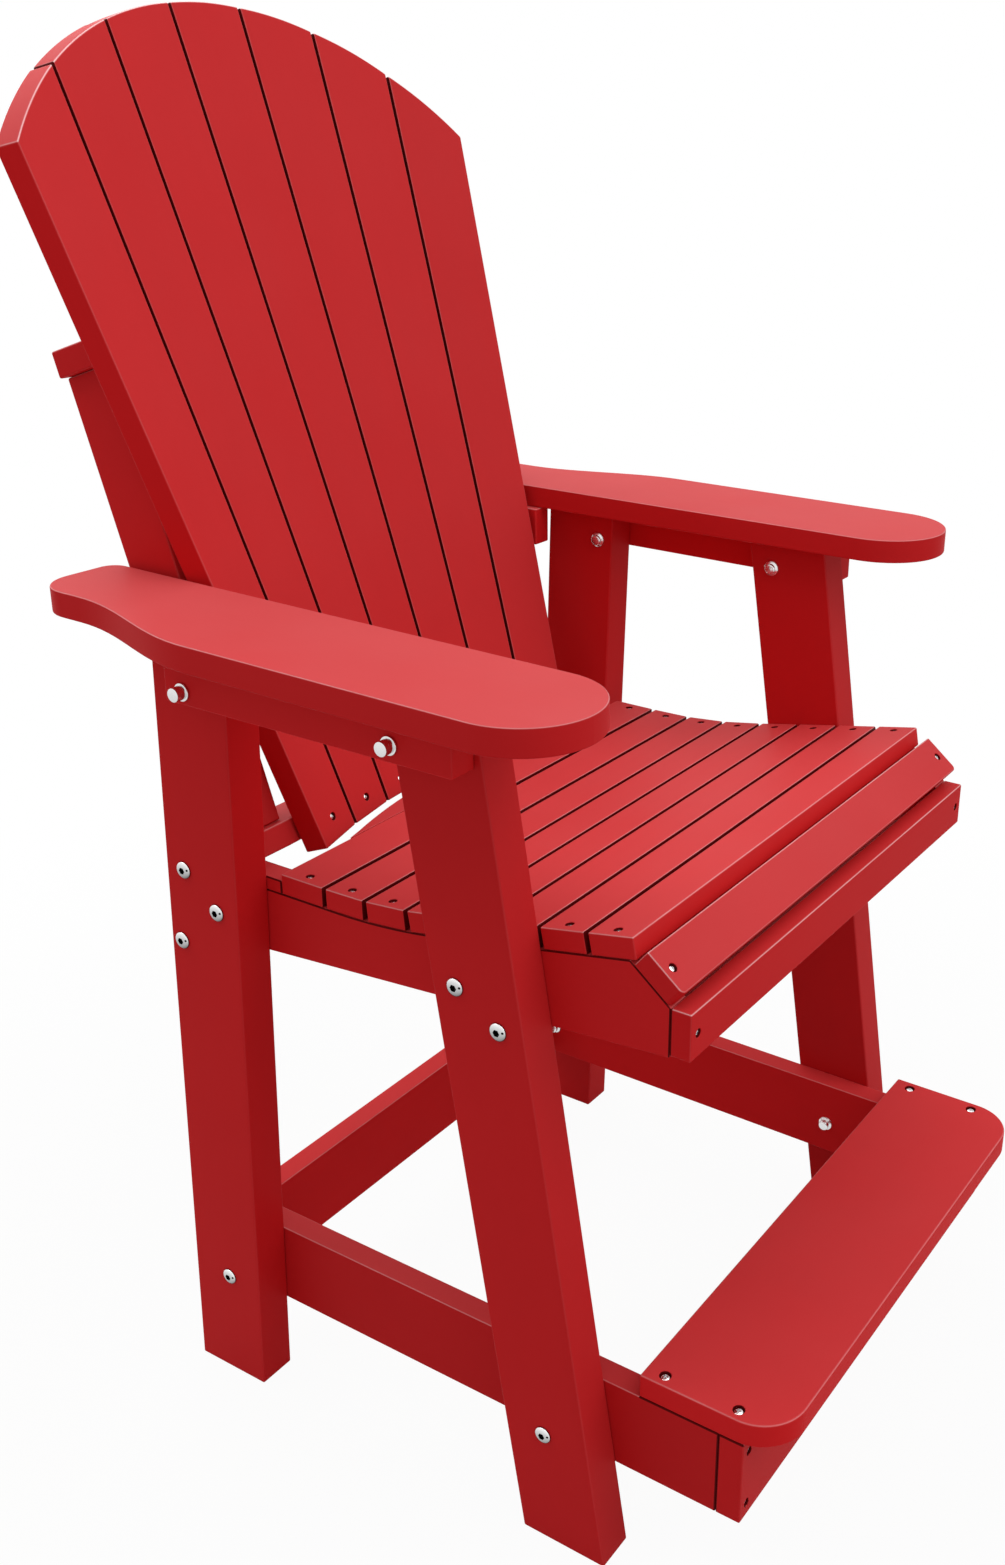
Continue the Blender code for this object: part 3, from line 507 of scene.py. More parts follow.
stringer_flat = SEAT_REAR_TOP - SEAT_THICK - 2 * FIT
step_down = seat_under(SEAT_ARC_END) - nosing_under(SEAT_ARC_END)
stringer_peak = SEAT_ARC_END + step_down / (math.tan(NOSING_ANGLE) + SEAT_RISE)
stringer_line = {STRINGER_REAR: rail_under(STRINGER_REAR), STRINGER_BREAK: stringer_flat}
stringer_line |= {y: seat_under(y) for y in spaced(SEAT_ARC_START, SEAT_ARC_END, CURVE_STEPS)}
stringer_line |= {y: nosing_under(y) for y in (stringer_peak, STRINGER_FRONT)}
for word, side in SIDES.items():
    low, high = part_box("seat_stringer_" + word)
    stringer = plank("seat_stringer_%s_board" % word, (low.x, STRINGER_FRONT, STRINGER_BOTTOM),
                     (high.x, STRINGER_REAR, SEAT_REAR_TOP))
    bpy.ops.object.mode_set(mode="EDIT")
    score([y for y in stringer_line if STRINGER_FRONT < y < STRINGER_REAR], TO_REAR)
    for y, z in stringer_line.items():
        move(stringer, lambda v: abs(v.co.y - y) < NEAR and v.co.z > SEAT_REAR_TOP - NEAR,
             (0.0, 0.0, z - SEAT_REAR_TOP))
        move(stringer, lambda v: abs(v.co.y - y) < NEAR and v.co.z < STRINGER_BOTTOM + NEAR,
             (0.0, 0.0, STRINGER_FALL * (STRINGER_REAR - y)))
    ease_edges(stringer, STRINGER_EASE)
    packing = plank("seat_packing_%s_board" % word, (low.x, PACKING_FRONT, stringer_flat + FIT),
                    (high.x, PACKING_REAR, PACKING_TOP))
    bpy.ops.object.mode_set(mode="EDIT")
    saw_off((0.0, PACKING_REAR, rail_under(PACKING_REAR)),
            (0.0, math.sin(BACK_LEAN), math.cos(BACK_LEAN)))
    ease_edges(packing, PACKING_EASE)
    for piece, node in ((stringer, "seat_stringer_" + word), (packing, "seat_packing_" + word)):
        dress_board(piece, TO_REAR, in_side_joint, painted_light=STRINGER_PAINTED_LIGHT)
        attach(piece, "root")
        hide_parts(node)

# Seat slats: eight narrow boards across the stringers, following the hollow of the seat.
# Plastic lumber ripped thinner than the frame, one counterbored screw at each end; the
# rearmost carries a tongue whose rear edge is cut to the curve of the back.

SLAT_COUNT = 8
SLAT_HALF = LEG_INNER - FIT
SLAT_WIDTH, SLAT_PITCH = 0.0429, 0.0470
SECOND_SLAT = 0.0304
# Seat slats: share of wear and painted highlight, and colour brightened as painted light
SLAT_EASE, SLAT_WEAR_AND_HIGHLIGHT, SLAT_PAINTED_LIGHT = 0.0015, 0.55, 1.10
GAP_SIDE = 0.80  # a face turned this far to its neighbour is a side of the gap
TONGUE_EDGE, TONGUE_HALF, TONGUE_REACH = 0.1052, 0.1855, 0.0293
TONGUE_LIP, TONGUE_DROP = 0.0010, 0.0010
TONGUE_EASE, TONGUE_STEPS = 0.0003, 24


def set_in_place(piece, place):
    """Turn and move a piece by a matrix, and leave both in its mesh."""
    select_only(piece)
    piece.matrix_world = place
    bpy.ops.object.transform_apply()


def tilted(angle, place):
    """The matrix that turns a board about the X axis and sets it in its place."""
    return Matrix.Translation(place) @ Matrix.Rotation(angle, 4, "X")


for index in range(1, SLAT_COUNT + 1):
    centre = SECOND_SLAT - SLAT_PITCH * (index - 2)
    front = centre - SLAT_WIDTH / 2
    rear = TONGUE_EDGE if index == 1 else centre + SLAT_WIDTH / 2
    angle = math.atan2(seat_top(rear) - seat_top(front), rear - front)
    slat = plank("seat_slat_%d_board" % index, (-SLAT_HALF, 0.0, -SEAT_THICK),
                 (SLAT_HALF, (rear - front) / math.cos(angle), 0.0))
    set_in_place(slat, tilted(angle, (0.0, front, seat_top(front))))
    ease_edges(slat, SLAT_EASE, SLAT_WEAR_AND_HIGHLIGHT)
    middle = ((front + rear) / 2, (seat_top(front) + seat_top(rear)) / 2)
    for word, side in SIDES.items():
        sink_screw(slat, "seat_slat_%d_%s" % (index, word), (side * SCREW_X, *middle),
                   (0.0, math.sin(angle), -math.cos(angle)))
    to_front = Vector((0.0, -math.cos(angle), -math.sin(angle)))
    # The sides of the gaps between seat slats are painted dark as shade
    dress_board(slat, ACROSS, lambda normal, centre: index < SLAT_COUNT
                and normal.dot(to_front) > GAP_SIDE, painted_light=SLAT_PAINTED_LIGHT)
    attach(slat, "root")
    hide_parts("seat_slat_%d" % index)

tongue = plank("seat_tongue_board",
               (-TONGUE_HALF, TONGUE_EDGE + FIT, SEAT_REAR_TOP - SEAT_THICK),
               (TONGUE_HALF, TONGUE_EDGE + TONGUE_LIP, SEAT_REAR_TOP))
tongue_middle = TONGUE_EDGE + TONGUE_LIP / 2
stations = spaced(-TONGUE_HALF, TONGUE_HALF, TONGUE_STEPS)
bpy.ops.object.mode_set(mode="EDIT")
score(stations[1:-1], ACROSS)
for x in stations:
    out = 1 - (x / TONGUE_HALF) ** 2
    reach = max(TONGUE_REACH * out - TONGUE_LIP, 0.0)
    move(tongue, lambda v: abs(v.co.x - x) < NEAR and v.co.y > tongue_middle, (0.0, reach, 0.0))
    move(tongue, lambda v: abs(v.co.x - x) < NEAR and v.co.y > tongue_middle
         and v.co.z > SEAT_REAR_TOP - NEAR, (0.0, 0.0, -TONGUE_DROP * out))
ease_edges(tongue, TONGUE_EASE)
dress_board(tongue, ACROSS)
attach(tongue, "root")
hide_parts("seat_slat_1")

# Seat front: the nosing that turns the edge down for the legs, and the apron below it.
# Two cross boards of plastic lumber, screwed to the stringers' mitred front ends.

NOSING_WIDTH = 0.0434
NOSING_CORNER, NOSING_CORNER_STEPS = 0.0050, 6
# Painted sheen for the nosing, less for the apron sheltered under it; their share of wear and
# painted highlight
NOSING_SHEEN, APRON_SHEEN = 0.19, 0.08
FRONT_WEAR_AND_HIGHLIGHT = 0.85

nosing = plank("seat_nosing_board", (-SLAT_HALF, -NOSING_WIDTH, -SEAT_THICK), (SLAT_HALF, 0.0, 0.0))
bpy.ops.object.mode_set(mode="EDIT")
round_front(nosing, -NOSING_WIDTH / 2, NOSING_CORNER, NOSING_CORNER_STEPS)
bpy.ops.object.mode_set(mode="OBJECT")
set_in_place(nosing, tilted(NOSING_ANGLE, (0.0, *NOSING_TOP)))
ease_edges(nosing, SLAT_EASE, FRONT_WEAR_AND_HIGHLIGHT)
nosing_middle = (NOSING_TOP[0] - NOSING_WIDTH / 2 * math.cos(NOSING_ANGLE),
                 NOSING_TOP[1] - NOSING_WIDTH / 2 * math.sin(NOSING_ANGLE))
low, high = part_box("seat_apron")
apron = plank("seat_apron_board", low, high)
ease_edges(apron, SLAT_EASE, FRONT_WEAR_AND_HIGHLIGHT)
for word, side in SIDES.items():
    sink_screw(nosing, "seat_nosing_" + word, (side * SCREW_X, *nosing_middle),
               (0.0, math.sin(NOSING_ANGLE), -math.cos(NOSING_ANGLE)))
    sink_screw(apron, "seat_apron_" + word, (side * SCREW_X, low.y, (low.z + high.z) / 2), TO_REAR)
for piece, node, painted_sheen in ((nosing, "seat_nosing", NOSING_SHEEN),
                             (apron, "seat_apron", APRON_SHEEN)):
    # The apron's rear corners, where it closes against the boards behind, are painted dark as shade
    dress_board(piece, ACROSS, lambda normal, centre: piece == apron and on_corner(normal)
                and normal.y > CORNER_TURN, painted_sheen)
    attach(piece, "root")
    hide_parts(node)

# Seat ledger: a cross board between the stringers, close under the seat's front edge.
# The same lumber on edge, its top sawn to two slopes that meet under the gap behind the nosing;
# it stiffens the front of the seat and closes that gap from below.

LEDGER_EASE = 0.0010

low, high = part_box("seat_ledger")
ledger = plank("seat_ledger_board", low, (high.x, high.y, seat_under(low.y)))
bpy.ops.object.mode_set(mode="EDIT")
for slope in ((0.0, SEAT_RISE, 1.0), (0.0, -math.sin(NOSING_ANGLE), math.cos(NOSING_ANGLE))):
    saw_off((0.0, stringer_peak, nosing_under(stringer_peak)), slope)
ease_edges(ledger, LEDGER_EASE)
dress_board(ledger, ACROSS)
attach(ledger, "root")
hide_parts("seat_ledger")

# Back slats: seven flat boards that fan out as they rise, set to a shallow hollow.
# Plastic lumber ripped to a taper, cut to one shallow arc at the feet and one at the heads,
# each held by one counterbored screw into the lower rail.

BACK_SLATS = 7
BACK_APEX, BACK_SPREAD, BACK_HOLLOW = -0.842, 0.1406, 0.117
BACK_THICK, BACK_PLANED = 0.025, 0.02475
BACK_SPACE = 0.0032
BACK_BOTTOM, BACK_FOOT_ARC = 0.5713, 0.0043
# Back slats: share of wear and painted highlight; end faces, the crown's tops among them, painted
# darker with less painted sheen
BACK_EASE, BACK_WEAR_AND_HIGHLIGHT, BACK_END_SHADE = 0.0015, 1.0, 0.88
# Each back slat's colour scaled as painted light, darker towards the right
BACK_PAINTED_LIGHT = (1.03, 1.0, 1.0, 0.98, 0.97, 0.96, 0.92)
CROWN_CENTRE, CROWN_RADIUS = 1.0203, 0.3802
CROWN_BEVEL, CROWN_STEPS = 0.0028, 12
RAIL_THICK = 0.0245
lean_back = Matrix.Translation((0.0, BACK_FOOT, 0.0)) @ Matrix.Rotation(-BACK_LEAN, 4, "X")
lean_turn = lean_back.to_3x3()


def back_point(u, s):
    """A point on the front of the back: u from -1 to 1 across, s up along the lean."""
    half = BACK_SPREAD * (s - BACK_APEX)
    return Vector((u * half, BACK_HOLLOW * half * (1 - u * u), s))


def crown(x):
    """Height of the crown's arc, up along the lean."""
    return CROWN_CENTRE + math.sqrt(CROWN_RADIUS ** 2 - x ** 2)


for index in range(BACK_SLATS):
    name = "back_slat_%d" % (index + 1)
    sides = [2 * (index + step) / BACK_SLATS - 1 for step in (0, 1)]
    insets = (BACK_SPACE / 2, -BACK_SPACE / 2)
    apex = Vector((0.0, 0.0, BACK_APEX))
    rays = [back_point(u, 0.0) - apex for u in sides]
    across = (rays[1] - rays[0]).normalized()
    normal = rays[1].cross(rays[0]).normalized()
    normal = normal if normal.y > 0 else -normal
    rise = normal.cross(across) if normal.cross(across).z > 0 else across.cross(normal)

    def on_slat(x, s):
        return Vector((x, -(normal.x * x + normal.z * (s - BACK_APEX)) / normal.y, s))

    def side_x(k, s):
        return sides[k] * BACK_SPREAD * (s - BACK_APEX) + insets[k]

    feet, heads = [], []
    for k in (0, 1):
        s = (BACK_BOTTOM + BACK_FOOT_ARC * (1 - sides[k] ** 2)) / math.cos(BACK_LEAN)
        s += back_point(sides[k], s).y * math.tan(BACK_LEAN)
        feet.append((side_x(k, s), s))
        s = crown(0.0)
        for _ in range(CROWN_STEPS):
            s = crown(side_x(k, s))
        heads.append(side_x(k, s))
    set_up = Matrix((across, normal, rise)).transposed().to_4x4()
    set_up.translation = on_slat(*feet[0])
    to_board = set_up.inverted()
    slat = plank(name + "_board", (0.0, 0.0, 0.0), (1.0, BACK_PLANED, 1.0))
    stations = spaced(0.0, 1.0, CROWN_STEPS)
    bpy.ops.object.mode_set(mode="EDIT")
    score(stations[1:-1], ACROSS)
    targets = {}
    for t in stations:
        x = heads[0] + (heads[1] - heads[0]) * t
        targets[t, False] = to_board @ on_slat(*[a + (b - a) * t for a, b in zip(*feet)])
        targets[t, True] = to_board @ on_slat(x, crown(x))
    lines = {}
    shape = bmesh.from_edit_mesh(slat.data)
    for vert in shape.verts:
        t = min(stations, key=lambda value: abs(value - vert.co.x))
        lines.setdefault((t, vert.co.z > 0.5), []).append(vert.index)
    for (t, upper), members in lines.items():
        move(slat, lambda v: v.index in members, targets[t, upper] - Vector((t, 0.0, float(upper))))
    move(slat, lambda v: v.co.y > BACK_PLANED / 2 and v.co.z > BACK_BOTTOM / 2,
         (0.0, 0.0, CROWN_BEVEL))
    bpy.ops.object.mode_set(mode="OBJECT")
    set_in_place(slat, lean_back @ set_up)
    ease_edges(slat, BACK_EASE, BACK_WEAR_AND_HIGHLIGHT)
    s = LOWER_RAIL + RAIL_THICK / 2
    screw_place = on_slat(sum(sides) / 2 * BACK_SPREAD * (s - BACK_APEX), s)
    sink_screw(slat, name, lean_back @ screw_place, lean_turn @ normal)
    gaps = [lean_turn @ way for way, has in ((-across, index > 0), (across, index < BACK_SLATS - 1))
            if has]
    # The sides of the gaps between back slats are painted dark as shade
    dress_board(slat, lean_turn @ rise,
                lambda normal, centre: any(normal.dot(way) > GAP_SIDE for way in gaps),
                painted_light=BACK_PAINTED_LIGHT[index], end_shade=BACK_END_SHADE)
    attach(slat, "root")
    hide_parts(name)

# Back frame: two cross rails with hollowed front edges, and an upright at each side between them.
# Boards of the same lumber; the lower rail is lag-bolted between the rear legs, the slats are
# screwed to the lower rail, and the uprights stand on it under the upper one.

FRAME_REAR = 0.1005
RAILS = {"back_rail_upper": (1.1056 - RAIL_THICK, 0.250),
         "back_rail_lower": (LOWER_RAIL, SLAT_HALF)}
RAIL_STEPS = 28
UPRIGHT_INNER, UPRIGHT_OUTER = 0.2135, 0.2415
UPRIGHT_FRONT = 0.0375


def behind_slats(x, s):
    """Depth just behind the slats, measured square to the back's front plane."""
    half = BACK_SPREAD * (s - BACK_APEX)
    u = min(abs(x) / half, 1.0)
    hollow = BACK_HOLLOW * half * (1 - u * u)
    return hollow + BACK_THICK * math.hypot(1, 2 * BACK_HOLLOW * u) + 2 * FIT


for node, (bottom, half) in RAILS.items():
    top = bottom + RAIL_THICK
    rail = plank(node + "_board", (-half, 0.0, bottom), (half, FRAME_REAR, top))
    stations = spaced(-half, half, RAIL_STEPS)
    bpy.ops.object.mode_set(mode="EDIT")
    score(stations[1:-1], ACROSS)
    for x in stations:
        depth = max(behind_slats(x, bottom), behind_slats(x, top))
        move(rail, lambda v: abs(v.co.x - x) < NEAR and v.co.y < NEAR, (0.0, depth, 0.0))
    bpy.ops.object.mode_set(mode="OBJECT")
    set_in_place(rail, lean_back)
    ease_edges(rail)
    dress_board(rail, ACROSS)
    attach(rail, "root")
    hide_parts(node)
for word, side in SIDES.items():
    xs = sorted((side * UPRIGHT_INNER, side * UPRIGHT_OUTER))
    upright = plank("back_upright_%s_board" % word,
                    (xs[0], UPRIGHT_FRONT, LOWER_RAIL + RAIL_THICK + FIT),
                    (xs[1], FRAME_REAR, RAILS["back_rail_upper"][0] - FIT))
    set_in_place(upright, lean_back)
    ease_edges(upright)
    dress_board(upright, lean_turn @ Vector((0.0, 0.0, 1.0)))
    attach(upright, "root")
    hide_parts("back_upright_" + word)

# Arms: wide boards laid on the legs, round in front and drawn in behind to clear the elbow.
# Plastic lumber sawn to shape; a rail bolted outside the legs carries each one, and a short
# cleat under its rear end meets the back's upright.

ARM_UNDER, ARM_TOP = 0.8054, 0.8292
ARM_FRONT, ARM_REAR = -0.2641, 0.3255
ARM_CENTRE, ARM_HALF = 0.3196, 0.06579
ARM_SPLAY = math.radians(1.1)
WAIST_START, WAIST_END = 0.0905, 0.2650
WAIST_DRAW, WAIST_STEPS = 0.0404, 16
NOSE_FLAT, NOSE_STEPS = 0.00002, 24
TAIL_OUTER, TAIL_INNER, TAIL_STEPS = 0.037, 0.016, 12
CORNER_REACH = 0.02
# Arms: share of painted sheen; arms and their supports scaled lighter or darker as painted light
ARM_SHEEN = 0.23
ARM_PAINTED_LIGHT = {"left": 0.95, "right": 0.91}
ARM_SUPPORT_PAINTED_LIGHT = 1.10

for word, side in SIDES.items():
    arm = plank("arm_%s_board" % word, (-ARM_HALF, ARM_FRONT, ARM_UNDER),
                (ARM_HALF, ARM_REAR, ARM_TOP))
    stations = spaced(WAIST_START, WAIST_END, WAIST_STEPS)
    bpy.ops.object.mode_set(mode="EDIT")
    score(stations, TO_REAR)
    for y in stations[1:] + [ARM_REAR]:
        t = min((y - WAIST_START) / (WAIST_END - WAIST_START), 1.0)
        draw_in = -side * WAIST_DRAW * t * t * (3 - 2 * t)
        move(arm, lambda v: abs(v.co.y - y) < NEAR and v.co.x * side > 0, (draw_in, 0.0, 0.0))
    nose = ARM_HALF - NOSE_FLAT
    for y, outward, radius, steps in (
            (ARM_FRONT, side, nose, NOSE_STEPS), (ARM_FRONT, -side, nose, NOSE_STEPS),
            (ARM_REAR, side, TAIL_OUTER, TAIL_STEPS), (ARM_REAR, -side, TAIL_INNER, TAIL_STEPS)):
        pick(arm, lambda e: all(abs(v.co.y - y) < NEAR and v.co.x * outward > CORNER_REACH
                                for v in e.verts), "EDGE")
        bpy.ops.mesh.bevel(offset=radius, segments=steps, affect="EDGES", clamp_overlap=False)
    bpy.ops.object.mode_set(mode="OBJECT")
    set_in_place(arm, Matrix.Translation((side * ARM_CENTRE, 0.0, 0.0))
                 @ Matrix.Rotation(side * ARM_SPLAY, 4, "Z"))
    ease_edges(arm)
    pieces = [(arm, "arm_" + word, ARM_PAINTED_LIGHT[word])]
    for node in ("arm_rail_" + word, "arm_cleat_" + word):
        support = plank(node + "_board", *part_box(node))
        ease_edges(support)
        pieces.append((support, node, ARM_SUPPORT_PAINTED_LIGHT))
    for piece, node, painted_light in pieces:
        dress_board(piece, TO_REAR, painted_sheen=ARM_SHEEN, painted_light=painted_light)
        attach(piece, "root")
        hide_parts(node)

# Bolts: stainless button heads on the legs' outer faces, flanged nuts on the boards inside.
# At the arms they run the other way, and the nut and the bolt's end stand out from the rail.
# Each is turned from bar, and the button heads have a hexagon socket pressed in.

BOLT_RADIUS, BOLT_SIDES = 0.004, 40
HEAD_RADIUS, HEAD_HEIGHT = 0.0083, 0.0030
HEAD_RIM, HEAD_STEPS = 0.0006, 7
SOCKET_RADIUS, SOCKET_DEPTH, SOCKET_SIDES = 0.0035, 0.0026, 6
MARK_PLACE, MARK_RADIUS, MARK_DEPTH, MARK_SIDES = 0.0063, 0.0011, 0.0010, 12
MARK_TURN = math.radians(-74)
SUNK = 0.0002  # a face this far under the head's dome is in a recess
LEG_GRIP, ARM_GRIP, RAIL_GRIP = 0.0646, 0.0398, 0.0286
LEG_TIP, ARM_TIP = 0.0075, 0.0060
TIP_RINGS = ((0.0, 0.0048), (0.0003, 0.0054), (0.0009, 0.0058))
NUT_RINGS = ((-0.0030, 0.0058), (-0.0026, 0.0066), (-0.0016, 0.0081), (-0.0006, 0.0085),
             (0.0, 0.0083), (0.0, BOLT_RADIUS))
LAG_RINGS = ((-0.0795, 0.0010), (-0.0740, BOLT_RADIUS), (0.0, BOLT_RADIUS))
CAP_RADIUS = 0.0063
CAP_RINGS = ((0.0, 0.0078), (0.0004, 0.0081), (0.0012, 0.0081), (0.0016, 0.0079), (0.0018, 0.0075),
             (0.0018, CAP_RADIUS), (0.0098, CAP_RADIUS), (0.0106, 0.0061), (0.0110, 0.0053))
STEEL_TURN = math.radians(32)
GRAIN_SHADE = 0.92
DUST_GLOSS = 0.10
# Painted shade in sockets, punch marks and cross recesses
RECESS_SHADE = (0.012, 0.011, 0.011, 1.0)

turning_marks_and_shade, ends_in, ends_out = add_group(
    "turning_marks_and_shade", {"Place": VECTOR, "Facing": VECTOR},
    {"Grain": VALUE, "Height": VALUE, "Painted Shade": VALUE})
fine = add_node(turning_marks_and_shade, "TexNoise",
                {"Vector": ends_in.outputs["Place"], "Scale": 1400.0, "Detail": 2.0})
broad = add_node(turning_marks_and_shade, "TexNoise",
                 {"Vector": ends_in.outputs["Place"], "Scale": 180.0, "Detail": 3.0})
turned = add_node(turning_marks_and_shade, "SeparateXYZ", {"Vector": ends_in.outputs["Facing"]})
# Painted shade: the steel is painted darker as a face turns down
shade_below = carry(turning_marks_and_shade, turned.outputs["Z"], (0.45, -0.45))
feed(ends_out, {"Grain": broad.outputs["Fac"], "Height": fine.outputs["Fac"], "Painted Shade": shade_below})


def steel_finish(name, colour, rough, below):
    """Stainless steel with a faint turned grain, painted shade on faces that turn down, and painted
    shade in its recesses.
    """
    steel = bpy.data.materials.new(name)
    steel.use_nodes = True
    tree = steel.node_tree
    place = add_node(tree, "TexCoord").outputs["Object"]
    facing = add_node(tree, "NewGeometry").outputs["Normal"]
    recess = add_node(tree, "Attribute", attribute_name="recess").outputs["Fac"]
    marks = add_node(tree, "Group", {"Place": place, "Facing": facing},
                     node_tree=turning_marks_and_shade).outputs
    dust = add_node(tree, "Group", {"Facing": facing, "Place": place}, node_tree=dust_and_sheen)
    bright, end_share, shaded_below = [(*(value * shade for value in colour), 1.0)
                            for shade in (1.0, GRAIN_SHADE, below)]
    grained = blend_colours(tree, marks["Grain"], bright, end_share)
    shaded = blend_colours(tree, marks["Painted Shade"], grained, shaded_below)
    gloss = carry(tree, marks["Grain"], WHOLE, rough)
    relief = add_node(tree, "Bump",
                      {"Height": marks["Height"], "Strength": 0.03, "Distance": 0.0001})
    feed(tree.nodes["Principled BSDF"], {
        "Base Color": blend_colours(tree, recess, shaded, RECESS_SHADE),
        "Roughness": add_share(tree, gloss, dust.outputs["Mask"], DUST_GLOSS),
        "Normal": relief.outputs["Normal"], "Metallic": 1.0})
    return steel


def turn_on_lathe(name, rings, sides=BOLT_SIDES):
    """A round fastener drawn out along Z, ring by ring, from (height, radius) pairs."""
    height, radius = rings[0]
    bpy.ops.object.select_all(action="DESELECT")
    bpy.ops.mesh.primitive_circle_add(vertices=sides, radius=radius, fill_type="NGON",
                                      location=(0.0, 0.0, height))
    piece = bpy.context.object
    piece.name = name
    bpy.ops.object.transform_apply()
    bpy.ops.object.mode_set(mode="EDIT")
    bpy.ops.mesh.select_mode(type="FACE")
    bpy.ops.mesh.select_all(action="SELECT")
    for next_height, next_radius in rings[1:]:
        rise, wider = next_height - height, next_radius / radius
        bpy.ops.mesh.extrude_region_move(TRANSFORM_OT_translate={"value": (0.0, 0.0, rise)})
        bpy.ops.transform.resize(value=(wider, wider, 1.0))
        height, radius = next_height, next_radius
    bpy.ops.mesh.select_all(action="SELECT")
    bpy.ops.mesh.normals_make_consistent(inside=False)
    bpy.ops.object.mode_set(mode="OBJECT")
    return piece


def mark_recess(piece, sunk, darkness=1.0):
    """Keep which faces lie in a recess, by a test on their centres, and how dark they are painted
    there as shade.
    """
    keep(piece, "recess", "FACE", [darkness * sunk(face.center) for face in piece.data.polygons])


def smooth_steel(piece, material):
    """Round surfaces smooth, turned shoulders crisp."""
    select_only(piece)
    bpy.ops.object.shade_smooth_by_angle(angle=STEEL_TURN)
    piece.data.materials.append(material)


def one_more(pattern, name):
    """Another fastener of a pattern, with a mesh of its own."""
    made = pattern.copy()
    made.data = pattern.data.copy()
    bpy.context.collection.objects.link(made)
    made.name = name
    return made


def dome(radius):
    """Height of a button head at a distance from its axis."""
    fall = math.sqrt(max(1 - (radius / HEAD_RADIUS) ** 2, 0.0))
    return HEAD_RIM + (HEAD_HEIGHT - HEAD_RIM) * fall


def button_head():
    """Rings of a button head from its rim to its flat crown."""
    bends = [math.radians(90) * step / HEAD_STEPS for step in range(HEAD_STEPS)]
    radii = [HEAD_RADIUS * math.cos(bend) for bend in bends]
    return [(0.0, HEAD_RADIUS)] + [(dome(radius), radius) for radius in radii]


def nut_and_end(grip, tip):
    """Rings of a flanged nut with the bolt's end, from the tip back to the shank."""
    return [(height - grip, radius) for height, radius
            in [(height - tip, radius) for height, radius in TIP_RINGS] + list(NUT_RINGS)]


# The last figure sets how dark the painted shade on downward faces goes
head_steel = steel_finish("head_steel", (0.90, 0.91, 0.91), (0.10, 0.18), 0.14)
cap_steel = steel_finish("cap_steel", (0.86, 0.86, 0.86), (0.08, 0.16), 0.70)
nut_steel = steel_finish("nut_steel", (0.90, 0.91, 0.91), (0.20, 0.28), 0.70)
leg_bolt = turn_on_lathe("leg_bolt", nut_and_end(LEG_GRIP, LEG_TIP) + [(0.0, BOLT_RADIUS)]
                         + button_head())
lag_bolt = turn_on_lathe("lag_bolt", list(LAG_RINGS) + button_head())
mark_place = Matrix.Rotation(MARK_TURN, 3, "Z") @ Vector((MARK_PLACE, 0.0, dome(MARK_PLACE)))
for pattern in (leg_bolt, lag_bolt):
    bpy.ops.object.select_all(action="DESELECT")
    bpy.ops.mesh.primitive_cylinder_add(vertices=SOCKET_SIDES, radius=SOCKET_RADIUS,
                                        depth=2 * SOCKET_DEPTH, location=(0.0, 0.0, HEAD_HEIGHT))
    cut_away(pattern, bpy.context.object)
    bpy.ops.object.select_all(action="DESELECT")
    bpy.ops.mesh.primitive_cylinder_add(vertices=MARK_SIDES, radius=MARK_RADIUS,
                                        depth=2 * MARK_DEPTH, location=mark_place)
    cut_away(pattern, bpy.context.object)
    mark_recess(pattern, lambda c: 0.0 < c.z < dome(math.hypot(c.x, c.y)) - SUNK)
arm_bolt = turn_on_lathe("arm_bolt", nut_and_end(ARM_GRIP, ARM_TIP) + [(RAIL_GRIP, BOLT_RADIUS)]
                         + [(RAIL_GRIP + height, radius) for height, radius in CAP_RINGS])
for pattern, steel in ((leg_bolt, head_steel), (lag_bolt, head_steel), (arm_bolt, cap_steel)):
    smooth_steel(pattern, steel)
for pattern in (leg_bolt, arm_bolt):
    pattern.data.materials.append(nut_steel)
    for face in pattern.data.polygons:
        face.material_index = int(face.center.z < -LEG_GRIP / 2)

bolts = {"bolt_rail": (lag_bolt, (0.1866, 0.5790)),
         "bolt_arm_rear": (arm_bolt, (0.1342, 0.7710)),
         "bolt_arm_front": (arm_bolt, (-0.0908, 0.7740)),
         "bolt_footrest_rear": (leg_bolt, (0.1776, 0.1223)),
         "bolt_footrest_front": (leg_bolt, (-0.2122, 0.1223)),
         "bolt_seat_rear_upper": (leg_bolt, (0.1487, 0.5460)),
         "bolt_seat_rear_lower": (leg_bolt, (0.1974, 0.5033)),
         "bolt_seat_front_upper": (leg_bolt, (-0.1256, 0.5576)),
         "bolt_seat_front_lower": (leg_bolt, (-0.1693, 0.5294))}
for node, (pattern, (y, z)) in bolts.items():
    for word, side in SIDES.items():
        bolt = one_more(pattern, "%s_%s_steel" % (node, word))
        set_in_place(bolt, Matrix.Translation((side * (LEG_OUTER + FIT), y, z))
                     @ Matrix.Rotation(side * math.radians(90), 4, "Y"))
        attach(bolt, "root")
        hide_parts("%s_%s" % (node, word))
for pattern in (leg_bolt, lag_bolt, arm_bolt):
    bpy.data.objects.remove(pattern)

# Screws: stainless pan heads at the bottom of every counterbore, one pattern for the whole chair.
# Each head is turned, with a cross recess pressed in for the driver.

SCREW_HEAD, SCREW_SIDES = 0.0036, 24
SCREW_RIM, SCREW_CROWN, SCREW_STEPS = 0.0004, 0.0025, 5
SCREW_SHANK = ((-0.004, 0.0008), (-0.003, 0.0020), (0.0001, 0.0020), (0.0001, SCREW_HEAD))
CROSS_LONG, CROSS_WIDE, CROSS_DEEP = 0.0036, 0.0008, 0.0012
